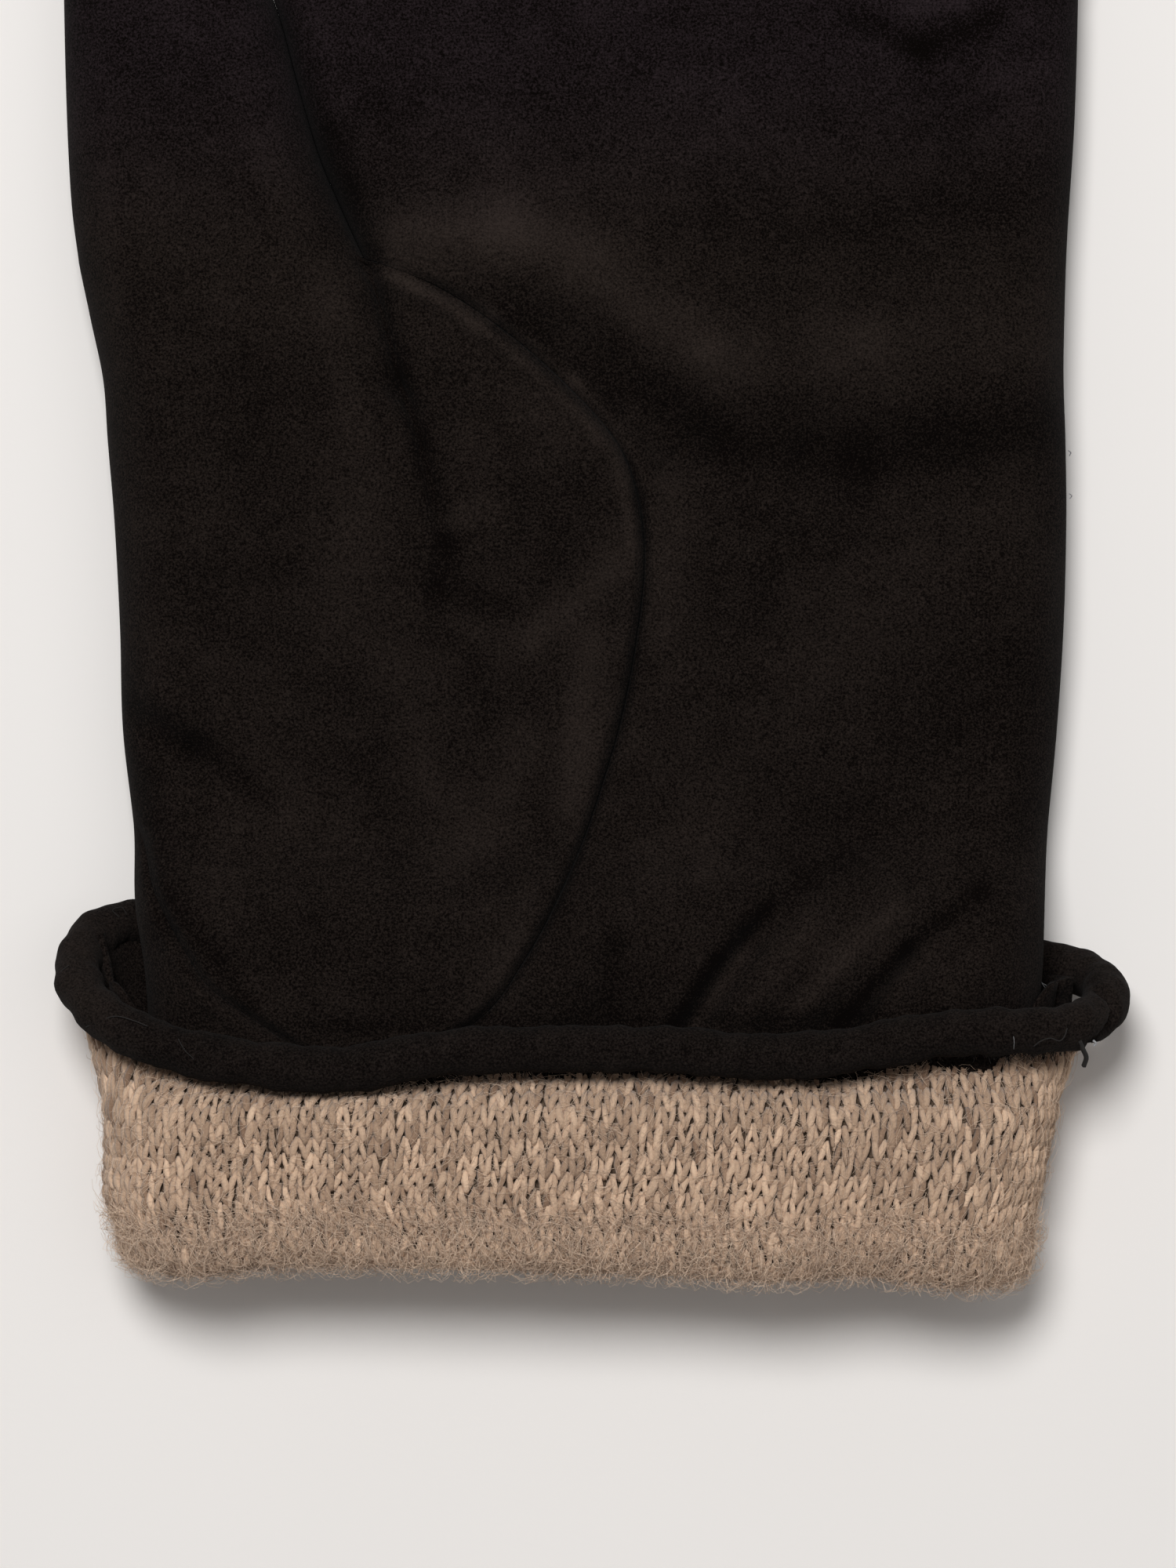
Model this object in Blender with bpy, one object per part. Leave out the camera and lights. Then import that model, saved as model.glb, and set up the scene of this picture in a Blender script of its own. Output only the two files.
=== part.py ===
"""A lined suede dress glove, lying palm up with its cuff turned back over the wrist.

The fingers run along +Y, the thumb lies at -X and the palm faces +Z. The origin is on the flat
underside, below the middle of the palm. Every piece is a sheet of leather or knit with its real
thickness, and sewn edges stand a small clearance apart.
"""

import math
from collections import namedtuple
from functools import lru_cache

import bmesh
import bpy

MM = 0.001

# Leather, yarn and the clearance between sewn edges
SUEDE = 1.2 * MM
KNIT = 1.6 * MM
GAP = 0.3 * MM

# The hand
PALM_WIDTH = 97.0 * MM
BODY_LENGTH = 138.2 * MM
BODY_THICKNESS = 14.0 * MM
FOLD_REACH = 91.0 * MM
FINGER_WIDTH = 23.6 * MM
FINGER_THICKNESS = 13.8 * MM

# The thumb, from its crotch to its tip
THUMB_LENGTH = 58.0 * MM
THUMB_WIDTH = 22.0 * MM
THUMB_THICKNESS = 15.0 * MM

# The turned-back cuff, from the fold to the middle of its rolled hem
CUFF_FRONT = 23.3 * MM
CUFF_BACK = 33.5 * MM
CUFF_FLARE = 5.2 * MM
HEM_DIAMETER = 4.7 * MM
LINING_DEPTH = 17.0 * MM

# Faces round each form
TOP_FACES = 20
UNDER_FACES = 10
THUMB_FACES = 20
FINGER_FACES = 14
HEM_SIDES = 8

# along: share of BODY_LENGTH from the fold. left, right: shares of half the palm width.
# thick, dome: shares of BODY_THICKNESS.
Section = namedtuple("Section", "along left right thick dome")
BODY = (
    Section(0.000, -0.965, 0.940, 0.96, 0.10),
    Section(0.070, -0.972, 0.955, 0.97, 0.10),
    Section(0.140, -0.970, 0.978, 0.97, 0.11),
    Section(0.190, -0.966, 0.990, 0.96, 0.12),
    Section(0.240, -0.980, 0.996, 0.95, 0.14),
    Section(0.290, -0.998, 1.004, 0.95, 0.15),
    Section(0.340, -1.012, 1.016, 0.96, 0.16),
    Section(0.390, -1.020, 1.028, 0.99, 0.17),
    Section(0.440, -1.028, 1.040, 1.01, 0.17),
    Section(0.490, -1.034, 1.048, 1.02, 0.17),
    Section(0.540, -1.036, 1.054, 1.02, 0.16),
    Section(0.590, -1.030, 1.054, 1.02, 0.15),
    Section(0.640, -1.000, 1.050, 1.01, 0.14),
    Section(0.690, -0.900, 1.046, 1.00, 0.13),
    Section(0.735, -0.700, 1.050, 0.98, 0.12),
    Section(0.774, -0.489, 1.056, 0.97, 0.11),
    Section(0.850, -0.570, 1.064, 0.95, 0.10),
    Section(0.940, -0.652, 1.074, 0.93, 0.08),
    Section(1.000, -0.700, 1.080, 0.88, 0.04),
)

# along: share of THUMB_LENGTH from the crotch. axis: share of half the palm width.
# wide: share of THUMB_WIDTH. thick, lift: shares of THUMB_THICKNESS.
ThumbSection = namedtuple("ThumbSection", "along axis wide thick lift")
THUMB = (
    ThumbSection(-0.80, -0.700, 1.12, 0.78, 0.020),
    ThumbSection(-0.54, -0.735, 1.32, 0.99, 0.020),
    ThumbSection(-0.32, -0.765, 1.33, 1.09, 0.020),
    ThumbSection(-0.14, -0.792, 1.36, 1.14, 0.016),
    ThumbSection(0.00, -0.812, 1.37, 1.16, 0.008),
    ThumbSection(0.17, -0.866, 1.22, 1.09, 0.000),
    ThumbSection(0.31, -0.897, 1.11, 1.04, 0.000),
    ThumbSection(0.46, -0.932, 1.01, 1.00, 0.000),
    ThumbSection(0.62, -0.955, 0.93, 0.97, 0.000),
    ThumbSection(0.76, -0.968, 0.83, 0.91, 0.020),
    ThumbSection(0.88, -0.975, 0.67, 0.76, 0.080),
    ThumbSection(0.96, -0.980, 0.44, 0.52, 0.180),
    ThumbSection(1.00, -0.982, 0.18, 0.24, 0.310),
)

# axis: share of half the palm width at the roots. wide: share of FINGER_WIDTH.
# long: share of the middle finger. splay: degrees off +Y.
Finger = namedtuple("Finger", "name axis wide long splay")
MIDDLE_FINGER = 81.0 * MM
FINGERS = (
    Finger("index", -0.455, 0.99, 0.890, 2.0),
    Finger("middle", 0.035, 1.01, 1.000, 0.0),
    Finger("ring", 0.520, 0.93, 0.920, -2.0),
    Finger("little", 0.915, 0.78, 0.740, -5.0),
)

# along: share of the finger's length. wide: share of its width. thick, lift: shares of
# FINGER_THICKNESS.
FingerSection = namedtuple("FingerSection", "along wide thick lift")
FINGER = (
    FingerSection(-0.12, 0.78, 0.80, 0.040),
    FingerSection(0.02, 0.99, 0.97, 0.020),
    FingerSection(0.14, 1.00, 1.00, 0.000),
    FingerSection(0.36, 0.98, 0.98, 0.000),
    FingerSection(0.58, 0.96, 0.95, 0.000),
    FingerSection(0.76, 0.92, 0.88, 0.020),
    FingerSection(0.88, 0.78, 0.72, 0.090),
    FingerSection(0.95, 0.56, 0.50, 0.200),
    FingerSection(1.00, 0.24, 0.22, 0.340),
)

# The seam round the thumb piece: x as a share of half the palm width, along as in BODY.
SeamPoint = namedtuple("SeamPoint", "along x")
PALM_SEAM = (
    SeamPoint(0.137, -0.470),
    SeamPoint(0.166, -0.330),
    SeamPoint(0.197, -0.214),
    SeamPoint(0.230, -0.146),
    SeamPoint(0.268, -0.085),
    SeamPoint(0.320, -0.016),
    SeamPoint(0.390, 0.050),
    SeamPoint(0.470, 0.100),
    SeamPoint(0.538, 0.124),
    SeamPoint(0.585, 0.112),
    SeamPoint(0.628, 0.068),
    SeamPoint(0.671, -0.035),
    SeamPoint(0.713, -0.171),
    SeamPoint(0.748, -0.326),
    SeamPoint(0.774, -0.495),
)
SIDE_SEAM = (
    SeamPoint(0.137, -0.490),
    SeamPoint(0.156, -0.580),
    SeamPoint(0.186, -0.713),
    SeamPoint(0.214, -0.820),
    SeamPoint(0.246, -0.885),
    SeamPoint(0.284, -0.944),
    SeamPoint(0.308, -0.968),
    SeamPoint(0.325, -1.080),
)

# Creases and rolls of the soft leather: from one point to another, depth (negative sinks) as a
# share of BODY_THICKNESS and width as a share of half the palm width.
Fold = namedtuple("Fold", "x0 along0 x1 along1 depth width")
FOLDS = (
    Fold(0.250, 0.210, 0.560, 0.333, -0.130, 0.060),
    Fold(0.640, 0.215, 0.900, 0.320, -0.120, 0.060),
    Fold(0.450, 0.215, 0.700, 0.330, 0.070, 0.080),
    Fold(0.560, 0.350, 1.000, 0.480, -0.070, 0.120),
    Fold(0.068, 0.215, 0.068, 0.310, -0.070, 0.080),
    Fold(-1.000, 0.445, -0.790, 0.395, -0.080, 0.080),
    Fold(-0.400, 0.668, -0.280, 0.645, -0.070, 0.060),
    Fold(-0.360, 0.640, -0.300, 0.500, -0.050, 0.090),
    Fold(0.250, 0.640, 0.480, 0.560, -0.080, 0.140),
    Fold(0.480, 0.560, 1.030, 0.610, -0.070, 0.170),
    Fold(-0.350, 0.800, 0.050, 0.735, 0.080, 0.150),
    Fold(0.050, 0.735, 0.340, 0.640, 0.070, 0.090),
    Fold(0.650, 0.850, 0.940, 0.905, -0.070, 0.110),
)

# The rolled hem seen from above: x from -1 to 1 across the cuff, rise as a share of CUFF_FRONT.
HemPoint = namedtuple("HemPoint", "x rise")
HEM_WAVE = (
    HemPoint(-1.00, 0.120),
    HemPoint(-0.85, 0.010),
    HemPoint(-0.69, -0.070),
    HemPoint(-0.54, -0.110),
    HemPoint(-0.41, -0.090),
    HemPoint(-0.25, -0.030),
    HemPoint(-0.10, 0.000),
    HemPoint(0.20, -0.010),
    HemPoint(0.42, -0.035),
    HemPoint(0.60, 0.020),
    HemPoint(0.78, 0.075),
    HemPoint(1.00, 0.120),
)
HEM_BACK_SLANT = 0.03

# Where the thumb crease runs, and how far the thumb tube reaches below its crotch
CREASE = (
    SeamPoint(0.540, -0.300),
    SeamPoint(0.600, -0.335),
    SeamPoint(0.660, -0.385),
    SeamPoint(0.715, -0.435),
    SeamPoint(0.774, -0.489),
)
CREASE_WIDTH = 0.060
CREASE_DEPTH = 0.60
SEAM_DIP = 0.050
SEAM_DIP_WIDTH = 0.050
THUMB_CROTCH = 0.774
TUBE_BELOW_CROTCH = 5.0 * MM

# How square the sections are, and the flat on which they rest
ROUNDNESS = 2.5
FLAT = 0.06
TRACE_STEPS = 60
SIDE_DETAIL = 0.7

HALF_WIDTH = PALM_WIDTH / 2
FOLD_Y = -FOLD_REACH
CROTCH_Y = FOLD_Y + THUMB_CROTCH * BODY_LENGTH
ROOT_Y = FOLD_Y + BODY_LENGTH
HEM_RADIUS = HEM_DIAMETER / 2
CUFF_STACK = KNIT + GAP + SUEDE + GAP
HEM_LIFT = HEM_DIAMETER + 2 * GAP
HEM_ROOM = 1.35 * HEM_RADIUS + GAP
TURN_INSIDE = SUEDE + 1.5 * GAP
TURN_Y = FOLD_Y + TURN_INSIDE + KNIT
REACH = 2 * PALM_WIDTH


def clear_scene():
    """Removes what the open file holds."""
    for item in list(bpy.data.objects):
        bpy.data.objects.remove(item)


def smooth(t):
    """Eases from 0 to 1."""
    t = min(max(t, 0.0), 1.0)
    return t * t * (3 - 2 * t)


def mix(a, b, t):
    """The value that lies the share t of the way from a to b."""
    return a + (b - a) * t


def read(rows, key, column, at):
    """The column's value at a place along the table, on a smooth curve through its rows."""
    places = [getattr(row, key) for row in rows]
    values = [getattr(row, column) for row in rows]
    if at <= places[0]:
        return values[0]
    if at >= places[-1]:
        return values[-1]
    i = next(n for n in range(len(places) - 1) if at <= places[n + 1])

    def slope(n):
        low, high = max(n - 1, 0), min(n + 1, len(places) - 1)
        return (values[high] - values[low]) / (places[high] - places[low])

    span = places[i + 1] - places[i]
    t = (at - places[i]) / span
    ends = (2 * t**3 - 3 * t**2 + 1) * values[i] + (3 * t**2 - 2 * t**3) * values[i + 1]
    return ends + span * ((t**3 - 2 * t**2 + t) * slope(i) + (t**3 - t**2) * slope(i + 1))


def share_along(y):
    """How far y lies from the fold to the finger roots."""
    return (y - FOLD_Y) / BODY_LENGTH


def level(share):
    """The y of a share along the body."""
    return FOLD_Y + share * BODY_LENGTH


def body(column, y):
    """A BODY column at y, in metres."""
    scale = HALF_WIDTH if column in ("left", "right") else BODY_THICKNESS
    return read(BODY, "along", column, share_along(y)) * scale


def distance(x, y, ends):
    """How far a point lies from the line between two points, and how far along that line."""
    (x0, y0), (x1, y1) = ends
    dx, dy = x1 - x0, y1 - y0
    t = ((x - x0) * dx + (y - y0) * dy) / (dx * dx + dy * dy)
    t = min(max(t, 0.0), 1.0)
    return math.hypot(x - x0 - t * dx, y - y0 - t * dy), t


def hem_back(x):
    """The y of the hem's hidden stretch, which lies under the wrist."""
    return FOLD_Y + CUFF_BACK - HEM_BACK_SLANT * x


def hem_front(x):
    """The y of the hem's middle where it crosses the palm side."""
    return FOLD_Y + CUFF_FRONT * (1 + read(HEM_WAVE, "x", "rise", x / HALF_WIDTH))


def under(y):
    """The underside: it steps up over the hem and the cuff that lie between it and the table."""
    beyond = y - hem_back(0.0)
    if beyond > 0:
        return HEM_LIFT * (1 - smooth((beyond - HEM_RADIUS) / (5 * HEM_RADIUS)))
    return mix(HEM_LIFT, CUFF_STACK, smooth((-beyond - HEM_RADIUS) / (5 * HEM_RADIUS)))


def side_height(y):
    """Half way up the leather tube, where the palm and back panels meet."""
    return under(y) + body("thick", y) / 2


def rounded(x, y):
    """The height left by the rounded sides of the tube, as a share of its full height."""
    radius = body("thick", y) / 2
    inset = min(x - body("left", y), body("right", y) - x, radius)
    return math.sqrt(max(0.0, 1 - (1 - inset / radius) ** 2))


def creased(x, y):
    """How far the palm sinks beside the thumb, as a share of its height."""
    centre = read(CREASE, "along", "x", share_along(y)) * HALF_WIDTH
    start = CREASE[0].along
    opened = max((share_along(y) - start) / (THUMB_CROTCH - start), 0.0)
    away = (x - centre) / (CREASE_WIDTH * HALF_WIDTH)
    deep = CREASE_DEPTH * min(opened, 1.0) ** 1.5 * math.exp(-away * away)
    return deep if y <= CROTCH_Y else 0.0


def folds(x, y):
    """What the creases, rolls and the seam of the thumb piece add to the palm's height."""
    total = 0.0
    for fold in FOLDS:
        ends = ((fold.x0 * HALF_WIDTH, level(fold.along0)), (fold.x1 * HALF_WIDTH, level(fold.along1)))
        away, t = distance(x, y, ends)
        kept = mix(1.0, 0.35, smooth((t - 0.6) / 0.4))
        total += fold.depth * kept * math.exp(-((away / (fold.width * HALF_WIDTH)) ** 2))
    places = [(point.x * HALF_WIDTH, level(point.along)) for point in PALM_SEAM]
    away = min(distance(x, y, pair)[0] for pair in zip(places, places[1:]))
    total -= SEAM_DIP * math.exp(-((away / (SEAM_DIP_WIDTH * HALF_WIDTH)) ** 2))
    shown = smooth((y - FOLD_Y - CUFF_FRONT) / (3 * HEM_DIAMETER))
    return total * shown * BODY_THICKNESS


def top(x, y):
    """The height of the palm side's outer face."""
    left, right = body("left", y), body("right", y)
    across = (2 * x - left - right) / (right - left)
    dome = body("dome", y) * max(0.0, 1 - across * across) ** 1.5
    full = body("thick", y) / 2 + dome + folds(x, y)
    return side_height(y) + full * rounded(x, y) * (1 - creased(x, y))


def bottom(x, y):
    """The height of the back's outer face, flat where it rests."""
    return side_height(y) - body("thick", y) / 2 * rounded(x, y)


def trace(height, start, end, count):
    """Points along z = height(x), closer at both ends, from start up to but without end."""
    fine = []
    for i in range(TRACE_STEPS + 1):
        x = mix(start, end, (1 - math.cos(math.pi * i / TRACE_STEPS)) / 2)
        fine.append((x, height(x)))
    run = [0.0]
    for a, b in zip(fine, fine[1:]):
        run.append(run[-1] + math.hypot(b[0] - a[0], b[1] - a[1]))
    picked = []
    for n in range(count):
        want = run[-1] * mix(n / count, (1 - math.cos(math.pi * n / count)) / 2, SIDE_DETAIL)
        i = max(k for k in range(TRACE_STEPS) if run[k] <= want)
        t = (want - run[i]) / (run[i + 1] - run[i])
        picked.append((mix(fine[i][0], fine[i + 1][0], t), mix(fine[i][1], fine[i + 1][1], t)))
    return picked


def inset(ring, depth):
    """A section moved inwards by depth, square to its own outline."""
    moved = []
    for i, (x, z) in enumerate(ring):
        before, after = ring[i - 1], ring[(i + 1) % len(ring)]
        dx, dz = after[0] - before[0], after[1] - before[1]
        size = math.hypot(dx, dz)
        moved.append((x + dz / size * depth, z - dx / size * depth))
    return moved


@lru_cache(maxsize=None)
def body_ring(y):
    """The body's section at y: over the palm from left to right, then back underneath."""
    left, right = body("left", y), body("right", y)
    over = trace(lambda x: top(x, y), left, right, TOP_FACES)
    below = trace(lambda x: bottom(x, y), right, left, UNDER_FACES)
    return over + below


def tube_ring(axis, wide, thick, lift, count):
    """A rounded section with a flat underside, from its left side over the top and back."""
    ring = []
    for i in range(count):
        angle = math.pi - 2 * math.pi * i / count
        c, s = math.cos(angle), math.sin(angle)
        x = math.copysign(abs(c) ** (2 / ROUNDNESS), c) * wide / 2
        z = math.copysign(abs(s) ** (2 / ROUNDNESS), s) * thick / 2
        ring.append((axis + x, lift + max(z + thick / 2 - FLAT * thick, 0.0)))
    return ring


def loft(name, rings, closed=False, flat=False):
    """Joins rings of points into one body, with capped ends or the last ring joined to the first.
    Flat forms keep their four-sided faces."""
    mesh = bmesh.new()
    made = [[mesh.verts.new(point) for point in ring] for ring in rings]
    count = len(made[0])
    pairs = list(zip(made, made[1:]))
    if closed:
        pairs.append((made[-1], made[0]))
    for low, high in pairs:
        for i in range(count):
            j = (i + 1) % count
            mesh.faces.new((low[i], low[j], high[j], high[i]))
    if not closed:
        mesh.faces.new(made[0])
        mesh.faces.new(made[-1])
    bmesh.ops.recalc_face_normals(mesh, faces=mesh.faces)
    if not flat:
        bmesh.ops.triangulate(mesh, faces=mesh.faces)
    data = bpy.data.meshes.new(name)
    mesh.to_mesh(data)
    mesh.free()
    return bpy.data.objects.new(name, data)


def body_form(name, depth):
    """The palm and wrist as one rounded form, depth inside the leather's outer face."""
    rings = []
    places = [level(row.along) for row in BODY]
    places[-1] -= depth
    for y in [places[0] - CUFF_FLARE] + places:
        ring = inset(body_ring(y), depth)
        rings.append([(x, y, z) for x, z in ring])
    return loft(name, rings)


def thumb_form(name, depth):
    """The thumb's tube, from inside the palm to its tip."""
    rings = []
    for row in THUMB:
        y = CROTCH_Y + row.along * THUMB_LENGTH
        wide, thick = row.wide * THUMB_WIDTH, row.thick * THUMB_THICKNESS
        ring = tube_ring(row.axis * HALF_WIDTH, wide, thick, row.lift * THUMB_THICKNESS, THUMB_FACES)
        if row.along in (THUMB[0].along, THUMB[-1].along):
            y += math.copysign(depth, -row.along)
        inner = shrunk(ring, depth)
        rings.append([(x, y, z) for x, z in inner])
    return loft(name, rings)


def shrunk(ring, depth):
    """A small section moved inwards, but never past a third of its size."""
    sizes = [max(p[k] for p in ring) - min(p[k] for p in ring) for k in (0, 1)]
    return inset(ring, min(depth, min(sizes) / 3))


def finger_form(finger, name, depth):
    """One finger's tube, from inside the palm to its tip."""
    rings = []
    length = finger.long * MIDDLE_FINGER
    sin, cos = math.sin(math.radians(finger.splay)), math.cos(math.radians(finger.splay))
    for row in FINGER:
        run = row.along * length
        if row.along in (FINGER[0].along, FINGER[-1].along):
            run += math.copysign(depth, -row.along)
        wide = row.wide * finger.wide * FINGER_WIDTH
        thick, lift = row.thick * FINGER_THICKNESS, row.lift * FINGER_THICKNESS
        ring = tube_ring(0.0, wide, thick, lift, FINGER_FACES)
        inner = shrunk(ring, depth)
        x0 = finger.axis * HALF_WIDTH
        rings.append([(x0 + x * cos - run * sin, ROOT_Y + run * cos + x * sin, z) for x, z in inner])
    return loft(name, rings)


def add_boolean(target, other, operation, overlapping=False):
    """Joins, cuts or keeps the shared part of two forms."""
    step = target.modifiers.new(operation.lower(), "BOOLEAN")
    step.operation = operation
    step.solver = "EXACT"
    step.use_self = overlapping
    step.object = other


def hand_form(name, depth, cutters):
    """The whole hand, with its fingers and thumb, depth inside the leather's outer face."""
    form = body_form(name, depth)
    parts = [finger_form(finger, f"{name}_{finger.name}", depth) for finger in FINGERS]
    parts.append(thumb_form(name + "_thumb", depth))
    for part in parts:
        cutters.objects.link(part)
        add_boolean(form, part, "UNION")
    cutters.objects.link(form)
    return form


def half_space(name, above):
    """A block whose one face follows the line where the palm and back panels meet."""
    rings = []
    end = ROOT_Y + MIDDLE_FINGER * 1.2
    sign = 1 if above else -1
    for y in [TURN_Y + GAP] + [level(row.along) for row in BODY[2:]] + [end]:
        near, far = side_height(y) + sign * GAP / 2, sign * REACH
        rings.append([(-REACH, y, near), (REACH, y, near), (REACH, y, far), (-REACH, y, far)])
    return loft(name, rings, flat=True)


def palm_seam(y):
    """The x of the seam between the thumb piece and the palm, and of the gap above the crotch."""
    if share_along(y) <= THUMB_CROTCH:
        return read(PALM_SEAM, "along", "x", share_along(y)) * HALF_WIDTH
    beside_finger = smooth((y - ROOT_Y + TUBE_BELOW_CROTCH) / (2 * TUBE_BELOW_CROTCH))
    return body("left", y) - 1.5 * GAP - beside_finger * 4 * GAP


def side_seam(y):
    """The x of the seam on the thumb piece's other side."""
    return read(SIDE_SEAM, "along", "x", share_along(y)) * HALF_WIDTH


def clearance(seam, y):
    """How far GAP square to a seam reaches in x."""
    return GAP * math.hypot(1, (seam(y + MM) - seam(y - MM)) / (2 * MM))


def thumb_region(name, room):
    """The space of the thumb piece. With room it is the space that the other pieces leave."""
    start = level(PALM_SEAM[0].along)
    tube = CROTCH_Y - TUBE_BELOW_CROTCH
    tip = CROTCH_Y + THUMB_LENGTH * 1.2
    shares = {point.along for point in PALM_SEAM[1:-1] + SIDE_SEAM[1:] + BODY}
    places = [start] + sorted(level(share) for share in shares if start < level(share) < tube - MM)
    rows = [(y, True) for y in places]
    edge = tube - (GAP if room else 0.0)
    rows += [(edge - GAP / 2, True), (edge, False)]
    rows += [(level(row.along), False) for row in BODY if row.along >= THUMB_CROTCH]
    rows += [(ROOT_Y + TUBE_BELOW_CROTCH, False), (tip, False)]
    rings = []
    for n, (y, gusset) in enumerate(rows):
        left = side_seam(y) if y <= level(SIDE_SEAM[-1].along) else -REACH
        right = palm_seam(y)
        if room:
            fade = 1 - smooth((y - CROTCH_Y) / (4 * MM))
            left -= clearance(side_seam, y)
            right += clearance(palm_seam, y) * fade
        place = y - GAP if room and n == 0 else y
        low = side_height(y) + (0.0 if room else GAP / 2) if gusset else -REACH
        rings.append([(left, place, low), (left, place, REACH), (right, place, REACH),
                      (right, place, low)])
    return loft(name, rings, flat=True)


def backness(i):
    """How far a place round the section belongs to the back: 0 over the palm, 1 underneath."""
    count = TOP_FACES + UNDER_FACES
    side = 3
    left = (i + count / 2) % count - count / 2
    right = TOP_FACES - i
    near = min(abs(left), abs(right))
    away = 0.5 * smooth(near / side)
    return 0.5 - away if 0 <= i <= TOP_FACES else 0.5 + away


def sleeve_point(i, y, offset, flare):
    """A place round the cuff: offset outside the body's face, spread sideways by flare."""
    x, z = inset(body_ring(y), -offset)[i]
    return (x * (1 + flare * CUFF_FLARE / HALF_WIDTH), y, max(z, 0.0))


def hem_line(i):
    """The y of the middle of the rolled hem at a place round the cuff."""
    x = body_ring(TURN_Y + CUFF_FRONT)[i][0]
    return mix(hem_front(x), hem_back(x), backness(i))


def cuff_sleeve(name, profile):
    """A sleeve round the cuff. A profile row is the share from the fold to the hem, or a y, and
    the offset from the body's face."""
    count = TOP_FACES + UNDER_FACES
    rings = []
    for share, y_fixed, offset in profile:
        ring = []
        for i in range(count):
            end = hem_line(i) - HEM_ROOM
            y = y_fixed if share is None else mix(TURN_Y, end, share)
            flare = 0.0 if offset < 0 else smooth((y - FOLD_Y) / CUFF_FRONT) * 0.9
            ring.append(sleeve_point(i, y, offset, flare))
        rings.append(ring)
    return loft(name, rings, closed=True)


def turnback_profile():
    """The band's own suede, which lies between the wrist and the knitted lining."""
    shares = [i / 5 for i in range(6)]
    inner = [(share, None, GAP) for share in shares]
    outer = [(share, None, GAP + SUEDE) for share in reversed(shares)]
    return inner + outer


def lining_profile():
    """The lining: up from inside the wrist, round the fold and over the turned-back band."""
    near, far = TURN_INSIDE, TURN_INSIDE + KNIT
    deep = TURN_Y + LINING_DEPTH
    inside = [mix(deep, TURN_Y, i / 4) for i in range(5)]
    shares = [i / 5 for i in range(1, 6)]
    rows = [(None, y, GAP / 2 - near) for y in inside]
    for i in range(1, 4):
        angle = math.pi * i / 4
        rows.append((None, TURN_Y - near * math.sin(angle), GAP / 2 - near * math.cos(angle)))
    rows.append((None, TURN_Y, GAP / 2 + near))
    rows += [(share, None, GAP / 2 + near) for share in shares]
    rows += [(share, None, GAP / 2 + far) for share in reversed(shares)]
    rows.append((None, TURN_Y, GAP / 2 + far))
    for i in range(1, 4):
        angle = math.pi * (1 - i / 4)
        rows.append((None, TURN_Y - far * math.sin(angle), GAP / 2 - far * math.cos(angle)))
    rows += [(None, y, GAP / 2 - far) for y in reversed(inside)]
    return rows


def hem_roll(name):
    """The rolled edge of the suede: a closed ring of leather round the cuff."""
    curve = bpy.data.curves.new(name, "CURVE")
    curve.dimensions = "3D"
    curve.bevel_depth = HEM_RADIUS
    curve.bevel_resolution = (HEM_SIDES - 4) // 2
    line = curve.splines.new("POLY")
    ring = []
    for i in range(TOP_FACES + UNDER_FACES):
        ring.append(sleeve_point(i, hem_line(i), 2 * GAP + HEM_RADIUS, 1.0))
    places = []
    for i, here in enumerate(ring):
        after = ring[(i + 1) % len(ring)]
        places.append(here)
        if i in (0, TOP_FACES - 1, TOP_FACES, len(ring) - 1):
            places.append(tuple(mix(a, b, 0.5) for a, b in zip(here, after)))
    line.points.add(len(places) - 1)
    for point, (x, y, z) in zip(line.points, places):
        point.co = (x, y, max(z, HEM_RADIUS), 1.0)
    line.use_cyclic_u = True
    source = bpy.data.objects.new(name + "_curve", curve)
    made = bpy.data.objects.new(name, bpy.data.meshes.new_from_object(source))
    bpy.data.objects.remove(source)
    return made


def material(name, color, roughness):
    """A plain material for one piece."""
    made = bpy.data.materials.new(name)
    made.use_nodes = True
    shader = made.node_tree.nodes["Principled BSDF"]
    shader.inputs["Base Color"].default_value = (*color, 1.0)
    shader.inputs["Roughness"].default_value = roughness
    shader.inputs["Sheen Weight"].default_value = 0.3
    return made


def finish(piece, collection, color, roughness):
    """Links a piece, shades it smooth and gives it its own material."""
    piece.data.shade_smooth()
    piece.data.materials.append(material(piece.name + "_material", color, roughness))
    collection.objects.link(piece)


def build():
    """Makes the glove."""
    clear_scene()
    glove = bpy.data.collections.new("suede_glove")
    cutters = bpy.data.collections.new("forms")
    bpy.context.scene.collection.children.link(glove)
    bpy.context.scene.collection.children.link(cutters)
    outside = hand_form("outside", 0.0, cutters)
    inside = hand_form("inside", SUEDE, cutters)
    room = thumb_region("thumb_room", True)
    cutters.objects.link(room)

    suede = (0.012, 0.009, 0.007)
    for name, above in (("palm", True), ("back", False)):
        panel = half_space(name, above)
        finish(panel, glove, suede, 0.9)
        add_boolean(panel, outside, "INTERSECT", overlapping=True)
        add_boolean(panel, inside, "DIFFERENCE", overlapping=True)
        add_boolean(panel, room, "DIFFERENCE", overlapping=True)
    thumb = thumb_region("thumb", False)
    finish(thumb, glove, suede, 0.9)
    add_boolean(thumb, outside, "INTERSECT")
    add_boolean(thumb, inside, "DIFFERENCE")

    finish(cuff_sleeve("cuff_turnback", turnback_profile()), glove, suede, 0.9)
    finish(hem_roll("hem_roll"), glove, suede, 0.8)
    finish(cuff_sleeve("knit_lining", lining_profile()), glove, (0.35, 0.24, 0.16), 0.95)

    for cutter in cutters.objects:
        cutter.hide_render = True
        cutter.display_type = "WIRE"


build()
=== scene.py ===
import math

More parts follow.
